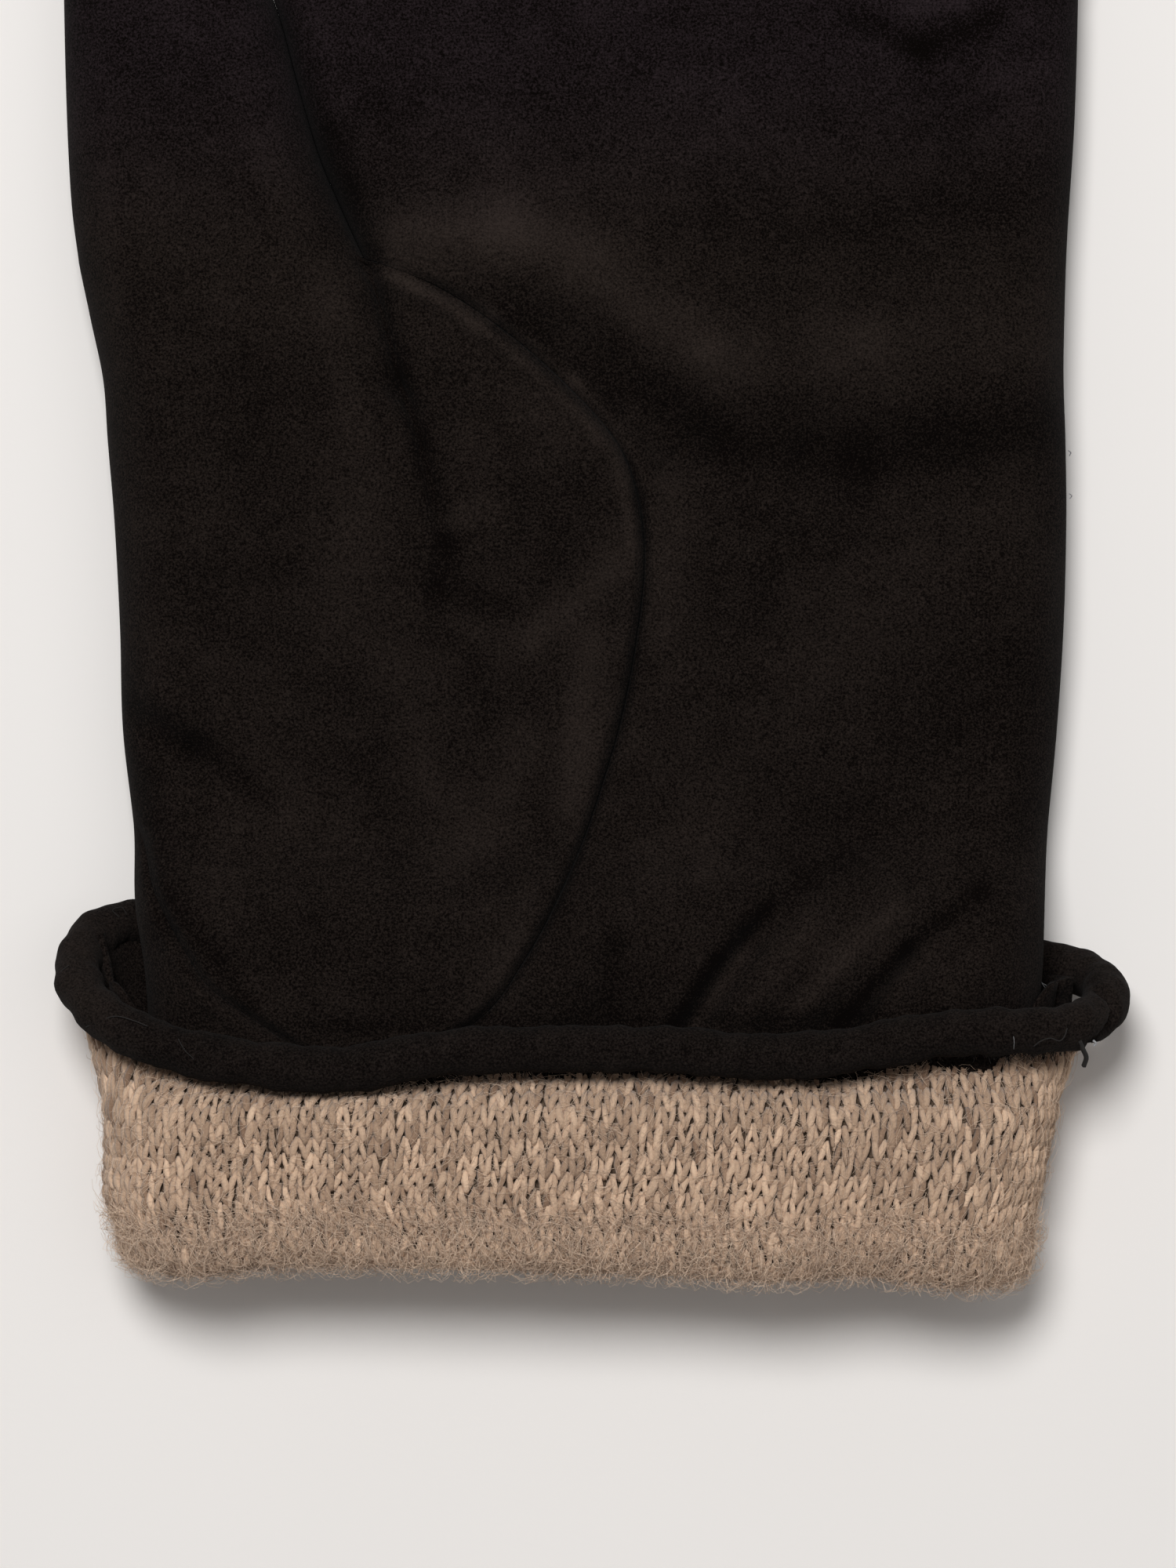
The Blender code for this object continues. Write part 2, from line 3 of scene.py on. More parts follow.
import bpy
import numpy as np
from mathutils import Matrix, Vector


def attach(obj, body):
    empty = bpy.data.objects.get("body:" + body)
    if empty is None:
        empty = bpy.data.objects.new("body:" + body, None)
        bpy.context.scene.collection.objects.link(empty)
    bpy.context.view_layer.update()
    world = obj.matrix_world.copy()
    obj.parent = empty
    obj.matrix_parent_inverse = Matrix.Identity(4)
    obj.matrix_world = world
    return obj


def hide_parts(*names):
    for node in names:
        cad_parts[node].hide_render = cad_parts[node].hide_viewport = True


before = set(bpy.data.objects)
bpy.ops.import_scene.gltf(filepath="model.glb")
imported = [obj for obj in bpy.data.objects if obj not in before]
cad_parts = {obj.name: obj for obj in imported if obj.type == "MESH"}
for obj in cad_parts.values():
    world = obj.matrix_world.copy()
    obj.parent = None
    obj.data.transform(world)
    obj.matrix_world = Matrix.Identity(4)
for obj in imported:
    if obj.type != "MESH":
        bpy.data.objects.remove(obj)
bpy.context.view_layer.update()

MM = 0.001

# Along Y: the leather's end inside the fold, the gusset's point, the thumb's crotch, the fingers' roots
MOUTH = -87.0
POINT = -72.0
CROTCH = 15.8
ROOT = 47.2
# The leather's wall, the height of the cuff under the glove, the hem's radius and the Y of its back
WALL = 0.9
STACK = 3.4
HEM_R = 2.35
HEM_BACK = -57.5
# The height under the glove where it lies on the hem, and from which a point is on the palm side
HEM_LIFT = 5.3
PALM_SIDE = STACK + 4

# Y, left edge, right edge, thickness, dome of the leather tube
BODY = np.array([
    (-91.0, -46.6, 45.4, 13.4, 1.4),
    (-78.0, -46.8, 46.4, 13.5, 1.4),
    (-68.0, -46.7, 47.6, 13.5, 1.5),
    (-60.0, -47.1, 48.3, 13.4, 1.7),
    (-52.5, -48.2, 48.6, 13.3, 2.0),
    (-45.0, -48.6, 49.2, 13.3, 2.1),
    (-34.2, -49.8, 50.2, 13.7, 2.3),
    (-23.3, -50.1, 50.9, 14.0, 2.4),
    (-11.7, -50.7, 51.2, 14.3, 2.4),
    (-3.3, -51.4, 51.1, 14.3, 2.2),
    (3.3, -51.9, 50.9, 14.2, 2.0),
    (10.0, -53.3, 51.0, 14.0, 1.9),
    (18.3, -54.9, 51.3, 13.6, 1.7),
    (30.8, -55.7, 52.1, 13.2, 1.3),
    (43.3, -55.9, 52.5, 12.8, 0.9),
    (47.2, -55.9, 52.6, 12.4, 0.6),
])

# Y, left edge, right edge, thickness of the thumb above its crotch
THUMB = np.array([
    (15.8, -54.5, -23.8, 17.6),
    (21.0, -55.2, -26.2, 17.0),
    (26.7, -55.6, -28.6, 16.4),
    (34.0, -55.9, -30.8, 15.7),
    (42.0, -56.1, -33.0, 15.1),
    (50.0, -56.2, -35.9, 14.7),
    (58.0, -55.9, -37.7, 14.0),
    (64.0, -55.2, -39.2, 12.8),
    (69.0, -53.8, -41.2, 10.6),
    (72.3, -51.6, -43.6, 7.4),
    (74.0, -47.61, -47.60, 0.02),
])

# name, axis at the root, width, length, splay in degrees
FINGERS = (
    ("index", -22.2, 23.6, 72.1, 2.0),
    ("middle", 1.7, 23.8, 81.0, 0.0),
    ("ring", 24.3, 21.6, 74.5, -2.0),
    ("little", 43.9, 17.6, 59.9, -5.0),
)
FINGER_THICKNESS = 13.6
ROOT_THICKNESS = 0.97 * FINGER_THICKNESS
ROOT_MIDDLE = 0.44 * ROOT_THICKNESS
# The fingers stand to the right of this X and the thumb's own edge to the left of the other
FINGERS_FROM = -36
THUMB_TO = -45

# share of a finger's length, width, thickness, lift of its underside
FINGER = np.array([
    (0.00, 1.00, 0.97, 0.01),
    (0.14, 1.00, 1.00, 0.00),
    (0.36, 0.98, 0.98, 0.00),
    (0.58, 0.96, 0.95, 0.00),
    (0.76, 0.92, 0.88, 0.02),
    (0.86, 0.81, 0.75, 0.07),
    (0.93, 0.64, 0.57, 0.15),
    (0.98, 0.38, 0.33, 0.27),
    (1.00, 0.00, 0.00, 0.42),
])

# The seam between thumb piece and palm, and the one on its other side: Y, X
PALM_SEAM = np.array([
    (POINT, -23.0), (-68.0, -16.0), (-63.8, -10.4), (-59.2, -7.1), (-54.2, -4.2), (-46.7, -0.8),
    (-40.8, 1.3), (-33.3, 3.5), (-25.0, 5.1), (-16.7, 6.0), (-10.0, 5.4), (-4.2, 3.3), (1.7, -1.7),
    (7.5, -8.3), (12.5, -15.8), (15.8, -23.8),
])
SIDE_SEAM = np.array([
    (POINT, -23.2), (-69.5, -28.0), (-65.3, -34.6), (-61.7, -39.6), (-59.6, -41.3), (-51.7, -45.8),
    (-45.4, -47.6), (-43.5, -49.4),
])
SIDE_SEAM_END = -43.6

# The thumb's crease below its crotch: Y, X, depth as a share of the height, radius
CREASE = np.array([
    (-28.0, -16.8, 0.00, 3.0),
    (-23.4, -16.4, 0.06, 3.2),
    (-15.2, -15.3, 0.14, 3.4),
    (-3.9, -17.7, 0.20, 3.2),
    (2.6, -19.9, 0.24, 3.4),
    (9.0, -21.6, 0.30, 4.2),
    (12.5, -22.6, 0.38, 5.4),
    (14.6, -23.4, 0.45, 6.4),
    (15.8, -23.8, 0.50, 6.9),
])
# Above it the thumb lies against the palm: Y, share of the height where they touch
TOUCH = np.array([(15.8, 0.50), (20.0, 0.34), (26.0, 0.28), (34.0, 0.34), (41.0, 0.30), (47.2, 0.0)])
# Painted shade and highlight on the palm side's suede, where its folds, creases and ridges fall dark or
# light: X, Y to X, Y, width, tone
PAINTED_SHADE_AND_HIGHLIGHT = (
    (-31.6, 41.7, -27.5, 28.7, 1.5, -0.35),
    (-27.5, 28.7, -22.9, 16.5, 1.6, -0.5),
    (-22.9, 16.5, -19.9, 3.5, 1.3, -0.5),
    (-19.9, 3.5, -17.6, -3.9, 1.1, -0.55),
    (-17.6, -3.9, -15.3, -14.4, 1.5, -0.45),
    (-15.3, -14.4, -16.3, -24.2, 1.5, -0.4),
    (-24.3, 36.8, -21.0, 22.2, 2.9, -0.2),
    (-35.6, 33.6, -27.5, 10.8, 2.6, 0.25),
    (-27.5, 10.8, -24.3, -3.9, 2.0, 0.25),
    (-19.9, 17.3, -8.8, 18.9, 3.9, 0.85),
    (-8.8, 18.9, 0.2, 16.5, 3.6, 0.6),
    (0.2, 13.2, 14.0, 5.1, 3.3, 0.6),
    (14.0, 5.1, 28.6, 6.7, 4.2, 0.3),
    (28.6, 7.5, 49.8, 6.7, 3.6, 0.25),
    (-8.8, 10.0, 2.6, 0.7, 2.0, -0.3),
    (2.6, 5.9, 14.0, -3.9, 2.6, -0.35),
    (14.0, -3.9, 28.6, -5.5, 3.3, -0.4),
    (28.6, -5.5, 50.6, -1.4, 3.3, -0.4),
    (-21.0, 14.0, -10.4, 9.5, 0.8, 0.7),
    (-10.4, 9.5, -1.5, 2.3, 0.8, 0.8),
    (-1.5, 2.3, 3.4, -4.2, 1.0, 0.8),
    (-13.7, 9.2, -2.3, -3.9, 2.6, 0.3),
    (3.6, -5.5, 4.6, -15.3, 0.8, 0.6),
    (9.1, -8.8, 7.5, -23.4, 2.0, 0.35),
    (41.7, -12.0, 18.9, -33.2, 4.6, 0.2),
    (18.9, -33.2, 9.1, -49.4, 3.9, 0.15),
    (28.6, -10.4, 15.6, -21.8, 2.9, -0.2),
    (49.8, -21.8, 28.6, -41.3, 4.2, -0.2),
    (-16.1, -19.3, -8.0, -21.8, 1.5, -0.35),
    (-6.3, -25, 2.6, -16.9, 2.1, 0.68),
    (0.2, -25, -1.5, -41.3, 2.3, 0.75),
    (-6.3, -36.4, -13.7, -47.8, 3.3, 0.38),
    (-19.9, -28.3, -16.9, -41.3, 2.3, 0.3),
    (-23.4, -8.8, -26.7, -21.8, 3.3, 0.3),
    (-13.7, -25.0, -10.4, -33.2, 1.6, -0.2),
    (-16.1, -12.8, -10.4, -10.4, 1.5, 0.45),
    (-51.1, 25.4, -49.8, 4.3, 1.1, 0.3),
    (-46.2, 20.5, -38.1, 10.8, 3.9, 0.15),
    (-47.5, -5.5, -46.2, -25.0, 2.0, 0.2),
    (-49.5, -30.7, -41.3, -35.9, 1.5, -0.45),
    (-41.3, -35.9, -34.5, -41.3, 1.6, -0.35),
    (-47.0, -38.0, -44.6, -54.3, 2.3, -0.3),
    (-44.6, -25.0, -36.5, -28.3, 2.3, 0.2),
    (-33.2, -38, -23.4, -47.8, 4.2, 0.15),
    (-38.1, 5.9, -34.8, -10.4, 3.6, -0.2),
    (22.1, 18.9, 49.8, 23.8, 2.3, -0.2),
    (9.1, 33.6, 22.1, 25.4, 3.9, 0.15),
    (27.8, 42.0, 35.2, 38.1, 1.5, -0.55),
    (35.2, 38.1, 43.3, 41.4, 1.5, -0.55),
    (34.8, 42.7, 39.2, 43.3, 1.3, 0.5),
    (36.8, 31.9, 48.2, 36.0, 1.3, 0.25),
    (35.2, 29.5, 48.2, 33.9, 1.3, -0.2),
    (9.1, -65.4, 13.7, -58.4, 0.8, -1.0),
    (13.7, -58.4, 18.9, -53.0, 0.9, -0.8),
    (18.9, -53.0, 27.3, -47.5, 1.3, -0.3),
    (11.1, -65.4, 16.0, -57.9, 1.0, 0.45),
    (16.4, -64.1, 23.8, -54.3, 1.3, 0.3),
    (26.2, -65.4, 33.5, -57.3, 0.8, -1.0),
    (33.5, -57.3, 41.7, -51.1, 1.0, -0.6),
    (22.1, -63.3, 32.2, -53.0, 1.3, 0.6),
    (29.5, -63.3, 37.1, -56.0, 1.3, 0.3),
    (41.7, -47.8, 49.8, -38.0, 2.3, -0.2),
    (2.6, -55.6, 2.6, -64.4, 1.1, -0.35),
    (-2.0, -52.7, -5.2, -62.5, 1.3, -0.2),
    (-6.3, -50.3, -8.8, -60.8, 1.3, 0.3),
    (-46.2, -49.4, -35.6, -63.3, 1.0, -0.4),
    (-33.2, -65.4, 41.7, -64.4, 1.1, -0.3),
)

# Folds and rolls of the leather: X, Y to X, Y, height, width at the start and at the end, fade
FOLDS = (
    (10.2, -67.0, 17.0, -57.0, -1.9, 1.4, 1.6, 0.85),
    (17.0, -57.0, 27.5, -46.5, -1.5, 1.6, 3.2, 0.1),
    (26.0, -48.0, 49.0, -23.0, -0.9, 3.2, 7.0, 0.2),
    (28.6, -67.0, 34.0, -60.0, -1.8, 1.3, 1.5, 0.85),
    (34.0, -60.0, 43.2, -50.0, -1.4, 1.5, 3.2, 0.05),
    (14.8, -66.5, 21.5, -58.0, 1.0, 2.2, 2.6, 0.6),
    (22.3, -65.0, 31.9, -52.8, 1.3, 1.6, 2.8, 0.4),
    (39.0, -63.0, 46.0, -53.0, 1.0, 2.4, 3.5, 0.4),
    (2.5, -67.0, 3.2, -52.0, -1.0, 1.6, 2.8, 0.2),
    (-3.4, -66.0, -2.8, -54.0, 0.7, 1.8, 2.6, 0.2),
    (-49.3, -32.5, -43.5, -36.5, -1.4, 2.0, 2.4, 0.8),
    (-43.5, -36.5, -35.5, -39.6, -1.1, 2.4, 3.6, 0.3),
    (-47.5, -29.5, -37.0, -35.0, 0.6, 3.0, 4.0, 0.4),
    (-47.0, -54.0, -33.0, -60.0, -0.7, 3.0, 5.0, 0.3),
    (-21.4, 2.4, -14.8, -3.2, -1.1, 0.9, 1.5, 0.3),
    (-10.6, -20.0, -8.2, -24.0, -0.6, 1.4, 2.4, 0.5),
    (-19.0, 19.0, -5.0, 13.5, 1.7, 4.5, 4.5, 0.7),
    (-4.0, 15.5, 12.5, 6.5, 1.3, 4.5, 4.2, 0.7),
    (12.5, 6.5, 17.0, -4.0, 1.0, 4.2, 4.2, 0.2),
    (-3.0, 6.5, 9.5, -3.6, -1.5, 2.6, 3.2, 0.7),
    (9.5, -3.6, 15.5, -11.0, -1.5, 3.2, 4.6, 0.4),
    (20.0, -5.0, 50.0, -9.5, -1.8, 4.5, 5.5, 0.85),
    (18.0, 4.5, 50.0, 0.5, 0.9, 4.5, 5.0, 0.8),
    (20.0, -19.0, 49.0, -22.0, 0.9, 5.5, 6.0, 0.8),
    (36.5, 31.5, 42.6, 30.0, -1.0, 2.0, 2.4, 0.8),
    (42.6, 30.0, 47.5, 36.5, -0.9, 2.2, 2.8, 0.6),
    (34.5, 43.5, 38.0, 45.5, 1.0, 2.6, 3.0, 0.5),
    (27.0, 44.0, 31.0, 40.0, -0.9, 1.8, 2.2, 0.5),
    (31.0, 40.0, 42.5, 43.0, -0.9, 2.0, 2.4, 0.7),
    (-3.0, -60.0, 1.0, -30.0, 0.4, 4.0, 5.0, 0.4),
    (-36.0, -20.0, -30.0, 8.0, 0.9, 8.0, 9.0, 0.7),
    (-22.0, 22.0, -10.0, 12.0, 0.8, 7.0, 6.0, 0.6),
)


# Numbers and curves

def smooth(t):
    t = np.clip(t, 0.0, 1.0)
    return t * t * (3 - 2 * t)


def mix(a, b, t):
    return a + (b - a) * t


def read(rows, column, at, key=0):
    """A table's column on a smooth curve through its rows."""
    k, v = rows[:, key], rows[:, column]
    slope = np.empty_like(v)
    slope[1:-1] = (v[2:] - v[:-2]) / (k[2:] - k[:-2])
    slope[0] = (v[1] - v[0]) / (k[1] - k[0])
    slope[-1] = (v[-1] - v[-2]) / (k[-1] - k[-2])
    at = np.clip(np.asarray(at, float), k[0], k[-1])
    i = np.clip(np.searchsorted(k, at, side="right") - 1, 0, len(k) - 2)
    span = k[i + 1] - k[i]
    t = (at - k[i]) / span
    ends = (2 * t**3 - 3 * t**2 + 1) * v[i] + (3 * t**2 - 2 * t**3) * v[i + 1]
    return ends + span * ((t**3 - 2 * t**2 + t) * slope[i] + (t**3 - t**2) * slope[i + 1])


def rounded(d, radius):
    """A rounded side: 0 at the edge and 1 at radius inside it."""
    return np.sqrt(np.maximum(0.0, 1 - (1 - np.clip(d / radius, 0, 1)) ** 2))


def waves(x, y, size, seed):
    """Soft unevenness without a pattern, about -1 to 1."""
    r = np.random.default_rng(seed)
    total = np.zeros_like(x)
    for _ in range(9):
        angle, phase = r.uniform(0, math.pi), r.uniform(0, 6.3)
        k = 2 * math.pi / (size * r.uniform(0.7, 1.6))
        total = total + np.sin((x * math.cos(angle) + y * math.sin(angle)) * k + phase)
    return total / 4.0


def line_distance(x, y, x0, y0, x1, y1):
    dx, dy = x1 - x0, y1 - y0
    t = np.clip(((x - x0) * dx + (y - y0) * dy) / (dx * dx + dy * dy), 0, 1)
    return np.hypot(x - x0 - t * dx, y - y0 - t * dy), t


def seam_line(rows, count=160):
    y = np.linspace(rows[0, 0], rows[-1, 0], count)
    return read(rows, 1, y), y


def seam_distance(x, y, rows):
    sx, sy = seam_line(rows)
    best = np.full(x.shape, 1e9)
    along = np.zeros(x.shape)
    for i in range(len(sx) - 1):
        d, t = line_distance(x, y, sx[i], sy[i], sx[i + 1], sy[i + 1])
        near = d < best
        best[near] = d[near]
        along[near] = i + t[near]
    return best, along


# The leather's surfaces

def under(y):
    """The height of the glove's underside, which lies on the hem and the cuff at the wrist."""
    beyond = y - HEM_BACK
    ahead = HEM_LIFT * (1 - smooth((beyond - HEM_R) / (5 * HEM_R)))
    behind = mix(HEM_LIFT, STACK, smooth((-beyond - HEM_R) / (5 * HEM_R)))
    return np.where(beyond > 0, ahead, behind)


def side_height(y):
    return under(y) + read(BODY, 3, y) / 2


def left_edge(y):
    return read(BODY, 1, y)


def right_edge(y):
    return read(BODY, 2, y)


def index_edge(y):
    """The palm's edge beside the thumb, which parts from it towards the index finger."""
    return read(THUMB, 2, y) + 0.02 + 1.2 * smooth((y - 43.5) / 3.7)


def folds(x, y):
    total = np.zeros_like(x)
    for x0, y0, x1, y1, height, w0, w1, fade in FOLDS:
        d, t = line_distance(x, y, x0, y0, x1, y1)
        width = mix(w0, w1, t)
        start = smooth(t / 0.12) * 0.5 + 0.5
        total += height * start * mix(1.0, fade, smooth(t)) * np.exp(-((d / width) ** 2))
    return total


def finger_top(x, i):
    """The height of a finger's upper side above its middle at the roots."""
    axis, wide = FINGERS[i][1:3]
    u = np.clip(np.abs(x - axis) / (wide / 2), 0, 1)
    return ROOT_THICKNESS / 2 * (1 - u**2.5) ** (1 / 2.5)


def finger_shapes(x, y):
    """How far the fingers have parted, from 0 on the palm to 1 at their roots, and their heights."""
    start = mix(5.0, 8.0, smooth((x - 20) / 20))
    parted = smooth((y - (ROOT - start)) / start) ** 1.4
    tubes = np.max([finger_top(x, i) for i in range(len(FINGERS))], axis=0)
    return np.where(x > FINGERS_FROM, parted, 0.0), tubes


def upper(x, y, left, right):
    """Height of the palm side. left and right are the edges of the piece's own tube."""
    half = read(BODY, 3, y) / 2
    whole = y <= CROTCH
    left, right = np.where(whole, left_edge(y), left), np.where(whole, right_edge(y), right)
    across = np.clip((2 * x - left_edge(y) - right_edge(y)) / (right_edge(y) - left_edge(y)), -1, 1)
    dome = read(BODY, 4, y) * (1 - across**2) ** 1.5
    swell = 2.0 * smooth((y + 34) / 50) * np.exp(-(((x + 38) / 11) ** 2))
    touch = read(TOUCH, 1, y) * ~whole
    at_left, at_right = rounded(x - left, half), rounded(right - x, half)
    of_thumb = left < THUMB_TO
    at_left = np.where(of_thumb, at_left, mix(touch, 1.0, at_left))
    at_right = np.where(of_thumb, mix(touch, 1.0, at_right), at_right)
    kept = at_left * at_right
    full = half + dome + swell
    shown = smooth((y + 70) / 4)
    height = full + folds(x, y) * smooth((y + 70) / 6)
    height = height + 0.22 * waves(x, y, 17, 3) + 0.08 * waves(x, y, 6, 4)
    # the crease beside the thumb
    depth = read(CREASE, 2, y) * whole
    centre, radius = read(CREASE, 1, y), read(CREASE, 3, y)
    height = height * (1 - depth * (1 - rounded(np.abs(x - centre), radius)))
    # the fingers part
    parted, tubes = finger_shapes(x, y)
    height = mix(height, tubes, parted)
    # the seam round the thumb piece: a stitched groove with a soft roll on either side
    d, s = seam_distance(x, y, PALM_SEAM)
    inner = x < read(PALM_SEAM, 1, y)
    pucker = 1 + 0.25 * np.sin(s * 1.9) + 0.15 * np.sin(s * 0.83 + 1)
    groove = -0.75 * np.exp(-((d / 0.55) ** 2))
    roll = np.where(inner, 0.50, 0.22) * pucker * np.exp(-(((d - 1.5) / 1.0) ** 2))
    height += (groove + roll) * shown * smooth((CROTCH - y) / 4)
    d, s = seam_distance(x, y, SIDE_SEAM)
    height += (-0.7 * np.exp(-((d / 0.5) ** 2)) + 0.35 * np.exp(-(((d - 1.3) / 0.9) ** 2))) * shown
    # the pucker of the side seam
    d = np.abs(x - 46.6 + 0.04 * (y + 50))
    height += -0.35 * np.exp(-((d / 0.8) ** 2)) * smooth((-48 - y) / 6) * shown
    base = mix(side_height(y), ROOT_MIDDLE, parted)
    return base + np.maximum(height, 0) * mix(kept, rounded(right - x, 1.2), parted)


def lower(x, y, left, right):
    """Height of the back's outer side, flat where it rests."""
    half = read(BODY, 3, y) / 2
    whole = y <= CROTCH
    left, right = np.where(whole, left_edge(y), left), np.where(whole, right_edge(y), right)
    kept = rounded(x - left, half) * rounded(right - x, half)
    depth = read(CREASE, 2, y) * whole
    kept = kept * (1 - depth * (1 - rounded(np.abs(x - read(CREASE, 1, y)), read(CREASE, 3, y))))
    parted, tubes = finger_shapes(x, y)
    finger = np.maximum(ROOT_MIDDLE - tubes * rounded(right - x, 1.2), 0.0)
    return mix(side_height(y) - half * kept, finger, parted)


def rows_of(height, lefts, rights, ys, columns, crowding=0.0):
    """Rows of points from left to right along a surface, closer at their ends as crowding grows."""
    out = np.empty((len(ys), columns, 3))
    t = (1 - np.cos(np.linspace(0, math.pi, 420))) / 2
    for n, (y, left, right) in enumerate(zip(ys, lefts, rights)):
        x = mix(left, right, t)
        z = height(x, np.full_like(x, y), left, right)
        run = np.concatenate([[0], np.cumsum(np.hypot(np.diff(x), np.diff(z)))])
        share = np.linspace(0, 1, columns)
        share = mix(share, (1 - np.cos(share * math.pi)) / 2, crowding)
        want = share * run[-1]
        out[n, :, 0] = np.interp(want, run, x)
        out[n, :, 1] = y
        out[n, :, 2] = np.interp(want, run, z)
    return out


def walled(rows, at):
    """Rows with one more point at their first or last edge, down at the side's height."""
    edge = rows[:, at].copy()
    above = rows[:, at, 1] > CROTCH
    y = rows[above, at, 1]
    edge[above, 2] = mix(side_height(y), edge[above, 2], smooth((y - 42) / 5))
    parts = [edge[:, None], rows] if at == 0 else [rows, edge[:, None]]
    return np.concatenate(parts, axis=1)


# Meshes

def grid_faces(rows, columns, first=0, wrap=False, flip=False):
    r, c = np.meshgrid(np.arange(rows - 1), np.arange(columns if wrap else columns - 1), indexing="ij")
    a = r * columns + c
    b = r * columns + (c + 1) % columns
    quads = np.stack([a, b, b + columns, a + columns], -1).reshape(-1, 4) + first
    return quads[:, ::-1] if flip else quads


def choose(obj):
    for other in bpy.context.selected_objects:
        other.select_set(False)
    bpy.context.view_layer.objects.active = obj
    obj.select_set(True)


def piece(name, points, quads, caps=(), material=None, merge=0.0):
    mesh = bpy.data.meshes.new(name)
    faces = [tuple(int(i) for i in face) for group in (quads, caps) for face in group]
    mesh.from_pydata((np.asarray(points) * MM).tolist(), [], faces)
    mesh.validate()
    obj = bpy.data.objects.new(name, mesh)
    bpy.context.scene.collection.objects.link(obj)
    if merge:
        choose(obj)
        bpy.ops.object.mode_set(mode="EDIT")
        bpy.ops.mesh.select_all(action="SELECT")
        bpy.ops.mesh.remove_doubles(threshold=merge * MM)
        bpy.ops.mesh.delete_loose()
        bpy.ops.object.mode_set(mode="OBJECT")
    mesh.shade_smooth()
    if material:
        mesh.materials.append(material)
    return obj


def give_wall(obj):
    step = obj.modifiers.new("wall", "SOLIDIFY")
    step.thickness = WALL * MM
    step.offset = -1
    choose(obj)
    bpy.ops.object.modifier_apply(modifier="wall")


def places(obj):
    """The X, Y and Z of a mesh's points."""
    at = np.empty(len(obj.data.vertices) * 3)
    obj.data.vertices.foreach_get("co", at)
    return (at.reshape(-1, 3) / MM).T


def store(obj, name, values):
    layer = obj.data.attributes.new(name, "FLOAT", "POINT")
    layer.data.foreach_set("value", values.astype(np.float32))


def brush(obj):
    """Stores the suede's tone as nap: random unevenness with painted shade and highlight over it, and where
    its tone is cool.
    """
    x, y, z = places(obj)
    tone = 0.10 * waves(x, y, 14, 31) + 0.08 * waves(x, y, 5, 32)
    # painted shade and highlight along the listed lines, on the palm side only
    for x0, y0, x1, y1, width, strength in PAINTED_SHADE_AND_HIGHLIGHT:
        d, _ = line_distance(x, y, x0, y0, x1, y1)
        tone += strength * np.exp(-((d / width) ** 2)) * (z > PALM_SIDE)
    # painted shade in the groove of the seam round the thumb piece
    d, _ = seam_distance(x, y, PALM_SEAM)
    seen = (z > PALM_SIDE) * smooth((CROTCH - y) / 4)
    tone -= 0.60 * np.exp(-((d / 0.5) ** 2)) * seen
    # painted highlight on the ridge beside the seam, where it faces the light, stronger towards the crotch
    seam_ridge_highlight = np.exp(-(((d - 1.4) / 0.8) ** 2)) * (x < read(PALM_SEAM, 1, y))
    tone += mix(0.15, 0.65, smooth((y + 12) / 12)) * seam_ridge_highlight * (0.7 + 0.5 * waves(x, y, 6, 33)) * seen
    store(obj, "nap", tone)
    store(obj, "cool", smooth((y - 14) / 26) * (z > PALM_SIDE))


class Patches:
    """Grids gathered into one mesh."""

    def __init__(self):
        self.points, self.quads, self.count = [], [], 0

    def add(self, grid, flip=False, wrap=False):
        rows, columns = grid.shape[:2]
        self.points.append(grid.reshape(-1, 3))
        self.quads.append(grid_faces(rows, columns, self.count, wrap, flip))
        self.count += rows * columns

    def make(self, name, material, merge=0.02):
        return piece(name, np.concatenate(self.points), np.concatenate(self.quads), (), material, merge)


def finger_rows(i, upper_half, rows=44, columns=30):
    """One finger's upper or lower half, from its root to its tip."""
    axis, wide, length, splay = FINGERS[i][1:]
    s, c = math.sin(math.radians(splay)), math.cos(math.radians(splay))
    share = 1 - (1 - np.linspace(0, 1, rows)) ** 1.6
    out = np.empty((rows, columns, 3))
    for n, at in enumerate(share):
        w = read(FINGER, 1, at) * wide / 2
        thick = read(FINGER, 2, at) * FINGER_THICKNESS
        lift = read(FINGER, 3, at) * FINGER_THICKNESS
        angle = np.linspace(math.pi, 0, columns) * (1 if upper_half else -1)
        u, v = np.cos(angle), np.sin(angle)
        x = np.sign(u) * np.abs(u) ** 0.8 * w
        z = np.sign(v) * np.abs(v) ** 0.8 * thick / 2
        bump = 0.15 * waves(x + i * 40, np.full_like(x, at * length), 9, 5) * np.abs(v)
        z = lift + np.maximum(z + (thick / 2 - 0.06 * thick), 0.0) + bump * (z > 0)
        run = at * length
        out[n, :, 0] = axis + x * c - run * s
        out[n, :, 1] = ROOT + run * c + x * s * float(smooth(run / 9))
        out[n, :, 2] = z
    return out


def thumb_rows(ys, upper_half, columns):
    """The thumb above its crotch. Its lower part carries on the palm's surface."""
    rows = []
    for y in ys:
        left, right, thick = (float(read(THUMB, k, y)) for k in (1, 2, 3))
        height = upper if upper_half else lower
        palm = rows_of(height, [left], [right], [y], columns, 0.35)[0]
        angle = np.linspace(math.pi, 0, columns) * (1 if upper_half else -1)
        u, v = np.cos(angle), np.sin(angle)
        x = (left + right) / 2 + np.sign(u) * np.abs(u) ** 0.82 * (right - left) / 2
        z = np.sign(v) * np.abs(v) ** 0.82 * thick / 2
        z = 4.5 * float(smooth((y - 60) / 14)) ** 1.5 + np.maximum(z + thick * 0.45, 0.0)
        z = z + 0.2 * waves(x, np.full_like(x, y), 15, 3) * np.maximum(v, 0)
        tube = np.stack([x, np.full_like(x, y), z], -1)
        rows.append(mix(palm, tube, float(smooth((y - 44) / 20))))
    return np.array(rows)


